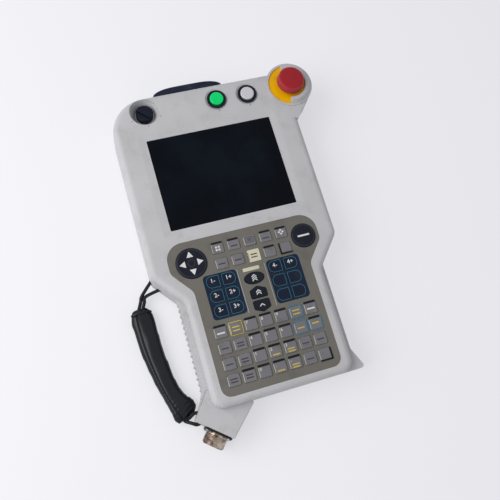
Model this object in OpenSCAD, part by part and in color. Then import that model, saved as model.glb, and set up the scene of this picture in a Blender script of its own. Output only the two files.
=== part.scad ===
// Handheld teach pendant for an industrial robot.
// It lies on its back: +Z out of the front face, +X to the user's right, +Y towards the stop button.
// The origin is on the centre line of the back, on the face that the pendant rests on.

/* [Housing] */
// Width of the display section
head_w = 202; // [196:1:206]
// Height of the straight top edge above the origin
head_top = 168.5; // [166:0.5:172]
// Depth of the bottom edge below the origin
foot_y = 172; // [171:0.5:176]
// Thickness from the rest face to the front face
body_h = 45.8; // [45:0.2:48]
// Height of the parting line between the covers
split_z = 33; // [32:0.5:33.5]
// Gap left between the covers at the parting line
seam = 0.4; // [0.2:0.1:0.6]
// Wall thickness of both covers
wall = 3; // [2.6:0.1:3.2]
// Radius of the free top corner
corner_r = 40; // [34:1:42]
// Rounding along the front edge
front_edge_r = 6.5; // [4:0.5:7]
// Rounding along the back edge
rear_edge_r = 8; // [5:0.5:9]
// Depth where the side walls turn in towards the grip
shoulder_y = 29; // [26:0.5:32]

/* [Grip] */
// Width of the rear cover at the grip
grip_w = 158; // [154:1:160]
// Width of the front cover at the grip
grip_front_w = 148; // [146:1:150]
// Width across the flared foot
foot_w = 178; // [172:1:182]
// Depth of the hollow across the back of the grip
scoop_h = 9; // [6:0.5:10]
// Number of ridges down each side of the grip
rib_count = 16; // [12:1:17]
// Distance between ridges
rib_pitch = 6; // [5.5:0.1:6.2]
// How far a ridge stands out
rib_out = 1.4; // [0.8:0.1:1.8]

/* [Display] */
// Visible width of the screen
screen_w = 138.2; // [130:0.2:140]
// Visible height of the screen
screen_h = 103.6; // [98:0.2:105]
// Height of the screen's centre above the origin
screen_y = 65; // [64:0.5:67]
// Length of the cover over the side socket
side_l = 71.2; // [66:0.2:74]
// Width of the cover over the side socket
side_w = 18.2; // [16:0.2:18.6]
// Depth of the glass below the front face
glass_drop = 1.5; // [1.2:0.1:1.8]

/* [Keypad] */
// Width of the keypad sheet at the top
sheet_w = 162; // [158:1:164]
// Width of the keypad sheet at the grip
sheet_neck_w = 125.4; // [124:0.2:128]
// Thickness of the keypad sheet
sheet_t = 1.6; // [1.4:0.1:1.8]
// Travel of a key
key_travel = 0.6; // [0.4:0.1:0.7]
// Gap round each moving key
key_gap = 0.35; // [0.3:0.05:0.5]
// Width of a key in the number block
num_key = 13; // [12:0.2:13.6]
// Distance between keys in the number block
num_pitch = 16; // [15.6:0.1:16.2]

/* [Stop button] */
// How far the stop button's centre stands out from the side wall
stop_out = 2; // [1:0.5:3]
// Height of the stop button above the origin
stop_y = 149.7; // [147:0.1:152]
// Outer radius of its round boss
boss_r = 26.3; // [25.5:0.1:27]
// Radius of the mushroom head
mushroom_r = 15; // [13:0.5:16]
// Height of the mushroom's top above the rest face
overall_h = 60.8; // [59:0.2:63]
// Travel of the stop button
stop_travel = 4; // [3:0.5:4]

/* [Front controls] */
// Radius of the round push buttons' lenses
lens_r = 7.5; // [6.5:0.1:8]
// Travel of the round push buttons
push_travel = 2.5; // [2:0.5:2.5]
// Radius of the mode switch's dish
dish_r = 16.3; // [15.5:0.1:17]
// Radius of the mode knob
knob_r = 9.4; // [9:0.1:10.5]

/* [Card slot] */
// Length of the curved cover over the card slot
arch_w = 78.6; // [76:0.2:82]
// How far the curved cover stands out from the top edge
arch_h = 10.2; // [10:0.1:12]
// Width of the card slot
card_w = 44; // [42:0.5:45]

/* [Enabling switch] */
// Length of the enabling lever
lever_l = 72; // [64:1:78]
// Width of the enabling lever
lever_w = 30; // [26:0.5:32]

/* [Cable connector] */
// Height of the connector box
box_h = 30; // [29.4:0.2:30]
// Width of the square flange
flange_w = 28.6; // [27:0.2:29]
// Outer radius of the receptacle
plug_r = 11.2; // [10:0.1:12]
// Length of the receptacle outside its flange
plug_l = 12.4; // [10:0.2:14]

/* [Hand strap] */
// Thickness of the padded sleeve
sleeve_t = 13; // [11:0.5:14]
// Radius of the strap's cord
cord_r = 1.8; // [1.6:0.1:2]

/* [Hidden] */
$fn = 48;
eps = 0.01;
fit = 0.3;               // gap between parts that move past each other
snug = 0.1;              // gap between parts that are assembled and stay
front_w2 = head_w / 2;
seam_z = split_z + seam; // underside of the front cover
skin_z = body_h - wall;  // inner side of the front wall
slope = 1.22;            // fall of the shoulder per millimetre inwards
floor_z = 12;            // inner floor of the grip
grey = [0.73, 0.74, 0.75];
olive = [0.44, 0.43, 0.38];
navy = [0.08, 0.12, 0.22];
black = [0.06, 0.06, 0.07];

AXIS_ROWS = 3;
AXIS_COLS = [-41.8, -25, 25, 41.8];
axis_row_y = -49.2;
axis_pitch = 15.3;
axis_names = [for (c = [0:3]) for (r = [0:AXIS_ROWS - 1]) str("axis_key_", c + 1, "_", r + 1)];

// ---- outlines ----
function unit(v) = v / norm(v);
function inward(d) = [d[1], -d[0]];
function turned(v, a) = [v[0] * cos(a) - v[1] * sin(a), v[0] * sin(a) + v[1] * cos(a)];
function at(list, i) = list[(i + len(list)) % len(list)];
function xy(v) = [v[0], v[1]];
function edge_dir(vs, i) = unit(xy(at(vs, i + 1)) - xy(at(vs, i)));
function is_convex(vs, i) =
    let (a = edge_dir(vs, i - 1), b = edge_dir(vs, i)) a[0] * b[1] - a[1] * b[0] < 0;

// Corners [x, y, radius, steps] run clockwise; inset moves every edge inwards by d.
function inset(vs, d) = [for (i = [0:len(vs) - 1])
    let (n1 = inward(edge_dir(vs, i - 1)), n2 = inward(edge_dir(vs, i)),
         p = xy(vs[i]) + d * (n1 + n2) / (1 + n1 * n2))
    [p[0], p[1], is_convex(vs, i) ? max(vs[i][2] - d, 1) : max(vs[i][2] + d, 1), vs[i][3]]];

function corner(vs, i) =
    let (a = edge_dir(vs, i - 1), b = edge_dir(vs, i), r = vs[i][2], n = vs[i][3],
         phi = acos(max(-1, min(1, a * b))), s = is_convex(vs, i) ? 1 : -1,
         start = xy(vs[i]) - a * r * tan(phi / 2), c = start + s * r * inward(a))
    [for (k = [0:n]) c + turned(start - c, -s * phi * k / n)];
function rounded(vs) = [for (i = [0:len(vs) - 1]) each corner(vs, i)];

// A right and a left half, each from top to bottom, joined into one clockwise outline.
function halves(right, left) =
    concat(right, [for (i = [len(left) - 1:-1:0]) [-left[i][0], left[i][1], left[i][2], left[i][3]]]);
function box_corners(w, h, r, n = 4) =
    [[w / 2, h / 2, r, n], [w / 2, -h / 2, r, n], [-w / 2, -h / 2, r, n], [-w / 2, h / 2, r, n]];

// A closed solid through rings [outline, z]; the caps are ladders of quads between its two halves.
module loft(rings) {
    n = len(rings[0][0]);
    m = len(rings);
    polyhedron(
        points = [for (r = rings) for (p = r[0]) [p[0], p[1], r[1]]],
        faces = concat(
            [for (j = [0:m - 2]) for (i = [0:n - 1]) let (k = (i + 1) % n)
                each [[j * n + i, j * n + k, (j + 1) * n + k], [j * n + i, (j + 1) * n + k, (j + 1) * n + i]]],
            [for (i = [0:n / 2 - 2]) [(m - 1) * n + i, (m - 1) * n + i + 1, m * n - 2 - i, m * n - 1 - i]],
            [for (i = [0:n / 2 - 2]) [n - 1 - i, n - 2 - i, i + 1, i]]));
}
module plate(vs, z0, z1) {
    translate([0, 0, z0]) linear_extrude(z1 - z0) polygon(rounded(vs));
}
module ring(r1, r2, z0, z1) {
    translate([0, 0, z0]) difference() {
        cylinder(r = r2, h = z1 - z0);
        translate([0, 0, -1]) cylinder(r = r1, h = z1 - z0 + 2);
    }
}
module rod(r, z0, z1) {
    translate([0, 0, z0]) cylinder(r = r, h = z1 - z0);
}

// Depth at which the shoulder's slope reaches half-width x.
function neck_y(x) = -shoulder_y - (front_w2 - x) * slope;
stop_corner_r = 10;      // hidden under the stop button's boss
function head_half(r) = [[front_w2, head_top, r, 14], [front_w2, -shoulder_y, 12, 5]];
front_grip = [[grip_front_w / 2, neck_y(grip_front_w / 2), 14, 5], [grip_front_w / 2, -foot_y, 12, 5]];
rear_grip = [[grip_w / 2, neck_y(grip_w / 2), 10, 5], [grip_w / 2, -foot_y + 22, 10, 4],
    [foot_w / 2, -foot_y, 3, 4]];
front_outline = halves(concat(head_half(stop_corner_r), front_grip), concat(head_half(corner_r), front_grip));
rear_outline = halves(concat(head_half(stop_corner_r), rear_grip), concat(head_half(corner_r), rear_grip));
EDGE_STEPS = 5;
front_rings = concat([[rounded(front_outline), seam_z]],
    [for (k = [0:EDGE_STEPS]) let (a = 90 * k / EDGE_STEPS)
        [rounded(inset(front_outline, front_edge_r * (1 - cos(a)))), body_h - front_edge_r * (1 - sin(a))]]);
rear_rings = concat([for (k = [EDGE_STEPS:-1:0]) let (a = 90 * k / EDGE_STEPS)
        [rounded(inset(rear_outline, rear_edge_r * (1 - cos(a)))), rear_edge_r * (1 - sin(a))]],
    [[rounded(rear_outline), split_z]]);

// ---- places ----
mode_at = [38.5 - front_w2, head_top - 17];
start_at = [17.6, head_top - 19.5];
hold_at = [52.8, head_top - 20.1];
stop_x = front_w2 + stop_out;
stop_at = [stop_x, stop_y];
arch_x = -9.3;           // centre of the card cover
screw_x = front_w2 - 8.5;
post_screw_r = 4.2;      // radius of the posts that the cover screws stand in
screw_at = [[19.5 - front_w2, head_top - 20.5], [70, head_top - 8.5], [-screw_x, screen_y - 3],
    [screw_x, screen_y - 3], [-screw_x, 15 - shoulder_y], [screw_x, 15 - shoulder_y],
    [foot_w / 2 - 23, 14 - foot_y], [-24, 10 - foot_y]];
side_at = [screen_y - 1.5, split_z - 14];  // centre of the side cover, [y, z]
board_w = screen_w + 13.8;
board_h = screen_h + 28.4;
board_y = screen_y - 5;
board_z = 9;

// ---- stop button's boss ----
floor_stop = body_h - 0.6;  // floor under the yellow disc
label_r = boss_r - 2.5;
guard_r = mushroom_r + 3;
web_y = 108;             // where the web meets the side wall
// The web's outer face meets the boss just inside its tangent, so that the two cross cleanly.
function web_outline(r) =
    let (w = [front_w2, web_y], d = norm(w - stop_at),
         a = atan2(w[1] - stop_at[1], w[0] - stop_at[0]) + acos(r / d))
    [w, stop_at + r * [cos(a), sin(a)], stop_at, [front_w2 - 6, stop_y], [front_w2 - 6, web_y + 2]];
module boss(z0, z1, web_z1) {
    translate([stop_x, stop_y, 0]) rod(boss_r, z0, z1);
    translate([0, 0, z0]) linear_extrude(web_z1 - z0) polygon(web_outline(boss_r - 0.8));
}
// The covers' common plan, drawn in by d.
module footprint(d, z0, z1) {
    plate(inset(front_outline, d), z0, z1);
    translate([stop_x, stop_y, 0]) rod(boss_r - d, z0, z1);
}

// ---- keypad places ----
sheet_top_y = -1.3;
sheet_lobe_y = -31;
sheet_neck_y = -54;
sheet_foot_y = 8.5 - foot_y;
sheet_outline = let (h = [[sheet_w / 2, sheet_top_y, 18, 8], [sheet_w / 2, sheet_lobe_y, 10, 6],
    [sheet_neck_w / 2, sheet_neck_y, 12, 6], [sheet_neck_w / 2, sheet_foot_y, 10, 6]]) halves(h, h);
sheet_top = body_h - 0.2;
sheet_z = sheet_top - sheet_t;
key_top = sheet_top + 1.0;
key_base = sheet_z + key_travel + fit;
cursor_at = [-57.6, -24.8];
select_at = [64.3, -24.3];
cursor_r = 16;
select_r = 13;
num_rows = [for (r = [0:3]) -100.2 - r * (num_pitch + 0.2)];
fn_cols = [-27.5, -10.2, 7.1, 24.5, 41.8];
fn_rows = [-15.6, -32.4];

// Keys of the two axis blocks are round on their outer side.
function axis_key_outline(side) = let (w = 15, h = 13.5) side < 0
    ? [[w / 2, h / 2, 1.6, 3], [w / 2, -h / 2, 1.6, 3], [-w / 2, -h / 2, 6, 5], [-w / 2, h / 2, 6, 5]]
    : [[w / 2, h / 2, 6, 5], [w / 2, -h / 2, 6, 5], [-w / 2, -h / 2, 1.6, 3], [-w / 2, h / 2, 1.6, 3]];
// House shape of the fast key; the slow key is the same turned over.
fast_outline = [for (p = [[0, 6.3], [8.5, 2.6], [8.5, -6], [-8.5, -6], [-8.5, 2.6]]) [each p, 1.5, 3]];
slow_outline = [for (p = [[8.5, 6], [8.5, -2.6], [0, -6.3], [-8.5, -2.6], [-8.5, 6]]) [each p, 1.5, 3]];
fast_at = [0.5, -70.5];
slow_at = [0.5, -84.9];
speed_at = [0.5, -55.4];
speed_outline = [for (k = [0:23]) [10.4 * sin(15 * k), 6.1 * cos(15 * k)]];

// A key's cap: outline vs at p, with a smaller crown step on top.
module key_cap(vs, p) {
    translate([p[0], p[1], 0]) {
        plate(vs, key_base, key_top - 0.35);
        plate(inset(vs, 0.45), key_top - 0.36, key_top);
    }
}
module key_hole(vs, p) {
    translate([p[0], p[1], 0]) plate(inset(vs, -key_gap), sheet_z - 1, sheet_top + 1);
}
module round_key(r, p) {
    translate([p[0], p[1], 0]) {
        rod(r, key_base, key_top - 0.4);
        translate([0, 0, key_top - 0.4 - eps]) cylinder(r1 = r, r2 = r - 1, h = 0.4 + eps);
    }
}

// ---- covers ----
post_at = [5.8 - front_w2, -shoulder_y - 1.5];
post_r = 4.5;
cord_z = 16;
module strap_groove(p, r) {
    translate([p[0], p[1], 0]) ring(r, r + 2 * cord_r + 3 * fit, cord_z - cord_r - fit, cord_z + cord_r + fit);
}
hinge_x = 35 - grip_w / 2;
hinge_z = 12.5;
pocket_x = [hinge_x - lever_w, hinge_x + 4];
pocket_top = 19;
lever_y = [-shoulder_y - 32 - lever_l, -shoulder_y - 32];
lever_mid = (lever_y[0] + lever_y[1]) / 2;

foot_x = foot_w / 2;
box_outline = [[55.5 - foot_x, 22 - foot_y, 1, 2], [55.5 - foot_x, -foot_y - 2.5, 1, 2],
    [27.2 - foot_x, -foot_y - 30.7, 2, 3], [-foot_x - 4.2, -foot_y - 3.6, 2, 3],
    [12.5 - foot_x, 22 - foot_y, 1, 2]];

module screw_post(z0, z1) {
    for (p = screw_at) translate([p[0], p[1], 0]) rod(post_screw_r, z0, z1);
}

module front_cover() {
    color(grey) difference() {
        union() {
            difference() {
                union() {
                    loft(front_rings);
                    boss(seam_z, body_h + 1, body_h);
                }
                footprint(wall, seam_z - 1, floor_stop - wall);
                plate(inset(front_outline, wall), seam_z - 1, skin_z);
            }
            // cup round the mode switch
            intersection() {
                translate([mode_at[0], mode_at[1], split_z - 2])
                    cylinder(r1 = knob_r + 3, r2 = dish_r + 2, h = skin_z + 1 - split_z);
                plate(inset(front_outline, 2.6), split_z - 3, skin_z + 1);
            }
            // guard of the stop button
            translate([stop_x, stop_y, 0]) {
                intersection() {
                    rotate_extrude() polygon([[guard_r, floor_stop - 1], [boss_r - 1.4, floor_stop - 1],
                        [boss_r - 1.4, body_h + 0.9], [guard_r + 3.7, floor_stop + 6],
                        [guard_r, floor_stop + 6]]);
                    translate([-3.5, -boss_r, 0]) cube([2 * boss_r, 2 * boss_r, overall_h]);
                }
            }
            screw_post(seam_z, skin_z + 1);
        }
        // recess and hole of the stop button
        translate([stop_x, stop_y, 0]) {
            difference() {
                rod(label_r, floor_stop, body_h + 2);
                translate([-3.5, -boss_r, 0]) difference() {
                    cube([2 * boss_r, 2 * boss_r, overall_h]);
                    translate([3.5, boss_r, -1]) rod(guard_r, 0, overall_h + 2);
                }
            }
            rod(8.2, floor_stop - wall - 1, body_h + 2);
        }
        // dish of the mode switch
        translate([mode_at[0], mode_at[1], 0]) {
            translate([0, 0, split_z + 0.5])
                cylinder(r1 = knob_r + 1.2, r2 = dish_r, h = body_h - split_z - 0.5 + eps);
            rod(3.4, split_z - 3, split_z + 1);
        }
        // dishes and holes of the push buttons
        for (p = [start_at, hold_at]) translate([p[0], p[1], 0]) {
            translate([0, 0, body_h - 1.2]) cylinder(r1 = lens_r + 3.2, r2 = lens_r + 5.5, h = 1.2 + eps);
            rod(lens_r + 2.3, skin_z - 1, body_h + 1);
        }
        // window, its bevelled surround and the rebate for the glass
        translate([0, screen_y, 0]) {
            plate(box_corners(screen_w, screen_h, 1), skin_z - 1, body_h + 1);
            plate(box_corners(screen_w + 9, screen_h + 9, 2), skin_z - 1, body_h - glass_drop);
            hull() {
                plate(box_corners(screen_w + 1.6, screen_h + 1.6, 1.5), body_h - 0.8, body_h);
                plate(box_corners(screen_w + 17, screen_h + 18, 6), body_h, body_h + 1);
            }
        }
        // pocket and opening of the keypad
        plate(inset(sheet_outline, -snug), sheet_z, body_h + 1);
        plate(inset(sheet_outline, 4), skin_z - 1, body_h);
        // pilot holes
        for (p = screw_at) translate([p[0], p[1], 0]) rod(1.55, seam_z - 1, body_h - 6);
    }
}

module rear_space() {
    difference() {
        union() {
            plate(inset(front_outline, wall), floor_z, split_z + 1);
            translate([11.5 - front_w2, -shoulder_y - 5, wall])
                cube([2 * front_w2 - 23, shoulder_y + head_top - 11.5, floor_z]);
            translate([stop_x, stop_y, 0]) rod(boss_r - wall, 3 + wall, split_z + 1);
        }
        // walls of the enabling switch's pocket, of the strap post and of the card slot
        translate([pocket_x[0] - 3, lever_y[0] - 4.5, 0])
            cube([pocket_x[1] - pocket_x[0] + 6, lever_l + 9, pocket_top + 2.5]);
        translate([post_at[0], post_at[1], 0]) rod(post_r + 2 * cord_r + 3, 0, split_z + 2);
    }
}

rib_y0 = -56;
function rib_points(side) = [for (k = [0:rib_count - 1]) for (j = [0:4])
    [side * (grip_w / 2 + rib_out * sin(45 * j)), rib_y0 - k * rib_pitch - 0.66 * rib_pitch * j / 4]];
module ribs(side) {
    last_y = rib_y0 - (rib_count - 1) * rib_pitch - 0.66 * rib_pitch;
    translate([0, 0, scoop_h + 1.5]) linear_extrude(split_z - scoop_h - 5)
        polygon(concat(rib_points(side), [for (y = [last_y, rib_y0]) [side * (grip_w / 2 - 1.5), y]]));
}
module scoop() {
    translate([-foot_w, 0, 0]) rotate([90, 0, 90]) linear_extrude(2 * foot_w)
        polygon(rounded([[-42, -1, 0.5, 1], [-149, -1, 0.5, 1], [-144, scoop_h, 7, 5], [-53, scoop_h, 12, 6]]));
}

// ---- card slot ----
arch_z = [12, split_z + 5];
arch_hinge = [head_top + 2.3, arch_z[0] + 2];
slot_z = 20;
arch_square = 0.83;      // 1 is an ellipse, less is squarer
function arch_points(d) =
    [for (k = [0:28]) let (t = 180 * k / 28, c = cos(t))
        [arch_x + sign(c) * (arch_w / 2 - d) * pow(abs(c), arch_square),
            head_top + (arch_h - d) * pow(sin(t), arch_square)]];
knuckle_x = [arch_x - 26, arch_x + 22];
module knuckle(x, w, r) {
    translate([x, 0, 0]) {
        translate([0, arch_hinge[0], arch_hinge[1]]) rotate([0, 90, 0]) cylinder(r = r, h = w);
        translate([0, head_top - 1, arch_hinge[1] - r]) cube([w, arch_hinge[0] - head_top + 1, 2 * r]);
    }
}

module rear_cover() {
    color(grey) difference() {
        union() {
            difference() {
                union() {
                    loft(rear_rings);
                    boss(7, split_z, split_z);
                    translate([stop_x, stop_y, 3]) cylinder(r1 = boss_r - 4, r2 = boss_r - eps, h = 4 + eps);
                    ribs(1);
                    ribs(-1);
                }
                rear_space();
            }
            screw_post(wall - 0.5, seam_z);
            // stand-offs of the main board
            for (x = [-1, 1]) for (y = [-1, 1])
                translate([x * (board_w / 2 - 6), board_y + y * (board_h / 2 - 6), 0])
                    rod(3, wall - 0.5, board_z);
            for (x = knuckle_x) knuckle(x, 4, 2);
        }
        scoop();
        // the connector box takes the place of one corner
        plate(inset(box_outline, -snug), -1, split_z + 1);
        // groove of the seal
        difference() {
            footprint(1.1, split_z - 0.8, split_z + 1);
            footprint(2.3, split_z - 2, split_z + 2);
            translate([-250, -foot_y - 20, split_z - 3]) cube([250 - 30, 45, 10]);
        }
        // pocket of the enabling switch and its pin's holes
        translate([pocket_x[0], lever_y[0] - 2, -1])
            cube([pocket_x[1] - pocket_x[0], lever_l + 4, pocket_top + 1]);
        translate([hinge_x, lever_y[1] + 4, hinge_z]) rotate([90, 0, 0]) cylinder(r = 1.52, h = lever_l + 8);
        // corner groove of the hand strap
        strap_groove(post_at, post_r);
        // card slot and the hole of its eject button
        translate([arch_x - card_w / 2, head_top - 10, slot_z - 2.9]) cube([card_w, 12, 5.8]);
        translate([arch_x + card_w / 2 + 3.4, head_top - 10, slot_z - 1.9]) cube([5.8, 12, 3.8]);
        // bore of the card cover's pin
        translate([arch_x - 30, arch_hinge[0], arch_hinge[1]]) rotate([0, 90, 0]) cylinder(r = 1.02, h = 60);
        // screw holes with counterbores
        for (p = screw_at) translate([p[0], p[1], 0]) {
            rod(1.7, -1, seam_z + 1);
            rod(3.3, -1, 2.4);
        }
        // recess of the side cover
        translate([front_w2 - 1.1, side_at[0] - side_l / 2 - snug, side_at[1] - side_w / 2 - snug])
            cube([2, side_l + 2 * snug, side_w + 2 * snug]);
        // shallow field for the rating label, left bare
        translate([0, screen_y - 3, 0]) plate(box_corners(board_w - 60, 62, 3), -1, 0.5);
    }
}

module cover_seal() {
    color(black) difference() {
        footprint(1.2, split_z - 0.8, seam_z);
        footprint(2.2, split_z - 2, seam_z + 1);
        translate([-250, -foot_y - 20, split_z - 3]) cube([250 - 29.5, 45.5, 10]);
    }
}
module cover_screws() {
    color([0.55, 0.55, 0.57]) for (p = screw_at) translate([p[0], p[1], 0]) {
        difference() {
            rod(2.9, 0.5, 2.4);
            translate([0, 0, 0.4]) cylinder(r = 1.4, h = 1.2, $fn = 6);
        }
        rod(1.5, 2.3, body_h - 7);
    }
}
module side_cover() {
    color(grey) translate([front_w2 + 0.7, side_at[0], side_at[1]]) rotate([0, -90, 0])
        plate(box_corners(side_w, side_l, 1.5, 3), 0, 1.75);
}

// ---- display ----
module screen_window() {
    color(black) translate([0, screen_y, 0])
        plate(box_corners(screen_w + 8.6, screen_h + 8.6, 1.8), body_h - glass_drop - 1.1, body_h - glass_drop);
}
module window_gasket() {
    color("dimgray") translate([0, screen_y, body_h - glass_drop - 1.7]) difference() {
        plate(box_corners(screen_w + 8, screen_h + 8, 1.5), 0, 0.6);
        plate(box_corners(screen_w + 1, screen_h + 1, 1.5), -1, 2);
    }
}
module lcd_module() {
    color("gray") translate([0, screen_y, body_h - glass_drop - 8.2])
        plate(box_corners(screen_w + 8, screen_h + 8, 1.5), 0, 6.5);
}
module main_board() {
    color("darkgreen") translate([0, board_y, board_z]) plate(box_corners(board_w, board_h, 2), 0, 1.6);
}

// ---- keypad ----
module key_sheet() {
    color(olive) difference() {
        union() {
            plate(sheet_outline, sheet_z, sheet_top);
            for (y = num_rows) for (c = [-3:3]) translate([c * num_pitch, y, 0])
                plate(box_corners(num_key, num_key - 0.5, 1.2, 2), sheet_top - 0.2, sheet_top + 0.5);
            for (y = fn_rows) for (x = fn_cols) translate([x, y, 0])
                plate(box_corners(12.6, 11.6, 1.2, 2), sheet_top - 0.2, sheet_top + 0.5);
            for (x = [-14.8, 14.8]) translate([x, -66, 0])
                plate(box_corners(0.9, 47, 0.3, 1), sheet_top - 0.2, sheet_top + 0.4);
        }
        for (c = [0:3]) for (r = [0:AXIS_ROWS - 1])
            key_hole(axis_key_outline(AXIS_COLS[c] < -30 || (AXIS_COLS[c] > 0 && AXIS_COLS[c] < 30) ? -1 : 1),
                [AXIS_COLS[c], axis_row_y - r * axis_pitch]);
        key_hole(fast_outline, fast_at);
        key_hole(slow_outline, slow_at);
        translate([speed_at[0], speed_at[1], sheet_z - 1]) linear_extrude(sheet_t + 2)
            polygon(speed_outline * (1 + key_gap / 6.1));
        translate([cursor_at[0], cursor_at[1], 0]) rod(cursor_r + key_gap, sheet_z - 1, sheet_top + 1);
        translate([select_at[0], select_at[1], 0]) rod(select_r + key_gap, sheet_z - 1, sheet_top + 1);
    }
}
module key_board() {
    color("darkslategray") difference() {
        union() {
            plate(inset(sheet_outline, 4 + snug), skin_z - eps, sheet_z);
            plate(inset(sheet_outline, 1.5), skin_z - 1.6, skin_z);
        }
        for (p = screw_at) translate([p[0], p[1], 0]) rod(post_screw_r + fit, skin_z - 3, skin_z);
    }
}
module axis_key(c, r) {
    side = AXIS_COLS[c] < -30 || (AXIS_COLS[c] > 0 && AXIS_COLS[c] < 30) ? -1 : 1;
    color(navy) key_cap(axis_key_outline(side), [AXIS_COLS[c], axis_row_y - r * axis_pitch]);
}
module cursor_key() { color(black) round_key(cursor_r, cursor_at); }
module select_key() { color(black) round_key(select_r, select_at); }
module fast_key() { color(black) key_cap(fast_outline, fast_at); }
module slow_key() { color(black) key_cap(slow_outline, slow_at); }
module high_speed_key() {
    color(black) translate([speed_at[0], speed_at[1], 0]) {
        translate([0, 0, key_base]) linear_extrude(key_top - 0.35 - key_base) polygon(speed_outline);
        translate([0, 0, key_top - 0.36]) linear_extrude(0.36) polygon(speed_outline * 0.93);
    }
}

// ---- stop button ----
skirt_z = body_h + 4.6;
cap_h = overall_h - skirt_z;
cap_edge = cap_h / 10.4;  // its roundings shrink with a lower head
module stop_label() {
    color([0.92, 0.67, 0]) translate([stop_x, stop_y, 0]) difference() {
        rod(label_r - snug, floor_stop, floor_stop + 0.4);
        rod(8.1, floor_stop - 1, floor_stop + 1);
        translate([-3.5 - snug, -boss_r, 0]) difference() {
            cube([2 * boss_r, 2 * boss_r, overall_h]);
            translate([3.5 + snug, boss_r, -1]) rod(guard_r - snug, 0, overall_h + 2);
        }
    }
}
module stop_head() {
    color([0.65, 0.16, 0.2]) translate([stop_x, stop_y, 0]) difference() {
        rotate_extrude($fn = 72) polygon([[0, skirt_z], [mushroom_r - 1.2, skirt_z],
            [mushroom_r, skirt_z + 1.4 * cap_edge], [mushroom_r - 0.4, overall_h - 2.6 * cap_edge],
            [mushroom_r - 1, overall_h - 1.2 * cap_edge], [mushroom_r - 2.4, overall_h - 0.4 * cap_edge],
            [mushroom_r - 5, overall_h], [0, overall_h]]);
        rod(6.5 + 0.05, skirt_z - 1, overall_h - 3 * cap_edge);
    }
}
module stop_stem() {
    color(black) translate([stop_x, stop_y, 0]) {
        rod(6.5, skirt_z - 20, overall_h - 3 * cap_edge - snug);
    }
}
module stop_switch() {
    color("dimgray") translate([stop_x, stop_y, 0]) difference() {
        union() {
            rod(7.9, floor_stop - wall - 1, floor_stop + 0.6);
            rod(13, 9, floor_stop - wall);
            translate([-12, -12, 7]) cube([24, 24, 14]);
        }
        rod(6.8, skirt_z - 20 - stop_travel - 0.5, body_h + 5);
    }
}

// ---- push buttons ----
barrel_z = slot_z + 5 + 1;   // the barrels end above the card socket
module push_bezel(p) {
    color(black) translate([p[0], p[1], 0]) difference() {
        union() {
            rod(lens_r + 3, body_h - 1.2, body_h + 1.2);
            rod(lens_r + 2.1, barrel_z, body_h - 1);
        }
        translate([0, 0, body_h + 0.4]) cylinder(r1 = lens_r + fit, r2 = lens_r + 1.2, h = 0.8 + eps);
        rod(lens_r + fit, barrel_z + 2, body_h + 2);
    }
}
lens_top = body_h + 2.8;
module push_button(p, c) {
    color(c) translate([p[0], p[1], 0]) {
        rod(lens_r, lens_top - 8.6, lens_top - 0.6);
        translate([0, 0, lens_top - 0.6 - eps]) cylinder(r1 = lens_r, r2 = lens_r - 0.8, h = 0.6 + eps);
        rod(3, barrel_z + 2 + push_travel + fit, lens_top - 8.5);
    }
}

// ---- mode switch ----
knob_z = split_z + 0.5 + fit;
knob_top = body_h - 2.4;
knob_grip_a = -42;       // direction of the knob's grip
module mode_knob() {
    color(black) translate([mode_at[0], mode_at[1], 0]) {
        rod(knob_r, knob_z, knob_top - 3);
        translate([0, 0, knob_top - 3 - eps]) cylinder(r1 = knob_r, r2 = knob_r - 1, h = 0.8 + eps);
        intersection() {
            rotate([0, 0, knob_grip_a]) plate(box_corners(2 * knob_r, 5.4, 1), knob_z, knob_top);
            rod(knob_r - 0.6, knob_z, knob_top + 1);
        }
        rod(3, 22, knob_z + 1);
    }
}
module mode_switch() {
    color("dimgray") translate([mode_at[0], mode_at[1], 0]) difference() {
        rod(11, 13, split_z - 2);
        rod(3.05, 21.5, split_z);
    }
}

// ---- card slot's cover, socket and eject button ----
module arch_prism(d, z0, z1) {
    translate([0, 0, z0]) linear_extrude(z1 - z0) intersection() {
        polygon(arch_points(d));
        translate([arch_x - arch_w / 2, head_top + fit]) square([arch_w, arch_h]);
    }
}
module card_cover() {
    zc = (arch_z[0] + arch_z[1]) / 2;
    color([0.07, 0.09, 0.14]) difference() {
        intersection() {
            arch_prism(0, arch_z[0], arch_z[1]);
            translate([arch_x - arch_w, 0, 0]) rotate([90, 0, 90]) linear_extrude(2 * arch_w)
                translate([head_top + arch_h / 2 + fit, zc])
                polygon(rounded([[arch_h / 2, (arch_z[1] - arch_z[0]) / 2, 2.5, 4],
                    [arch_h / 2, -(arch_z[1] - arch_z[0]) / 2, 2.5, 4],
                    [-arch_h / 2, -(arch_z[1] - arch_z[0]) / 2, 2, 4],
                    [-arch_h / 2, (arch_z[1] - arch_z[0]) / 2, 0.5, 1]]));
        }
        difference() {
            translate([0, -1, 0]) arch_prism(2.2, arch_z[0] + 2, arch_z[1] - 2);
            // barrel round the pin
            translate([arch_x - arch_w, arch_hinge[0], arch_hinge[1]]) rotate([0, 90, 0])
                cylinder(r = 2, h = 2 * arch_w);
        }
        for (x = knuckle_x) translate([x - fit, head_top - 1, arch_z[0] - 1]) cube([4 + 2 * fit, 6.2, 6.6]);
        translate([arch_x - 28 - fit, arch_hinge[0], arch_hinge[1]]) rotate([0, 90, 0])
            cylinder(r = 1.05, h = 56 + 2 * fit);
    }
}
module card_cover_pin() {
    color("silver") translate([arch_x - 28, arch_hinge[0], arch_hinge[1]]) rotate([0, 90, 0])
        cylinder(r = 1, h = 56);
}
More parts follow.
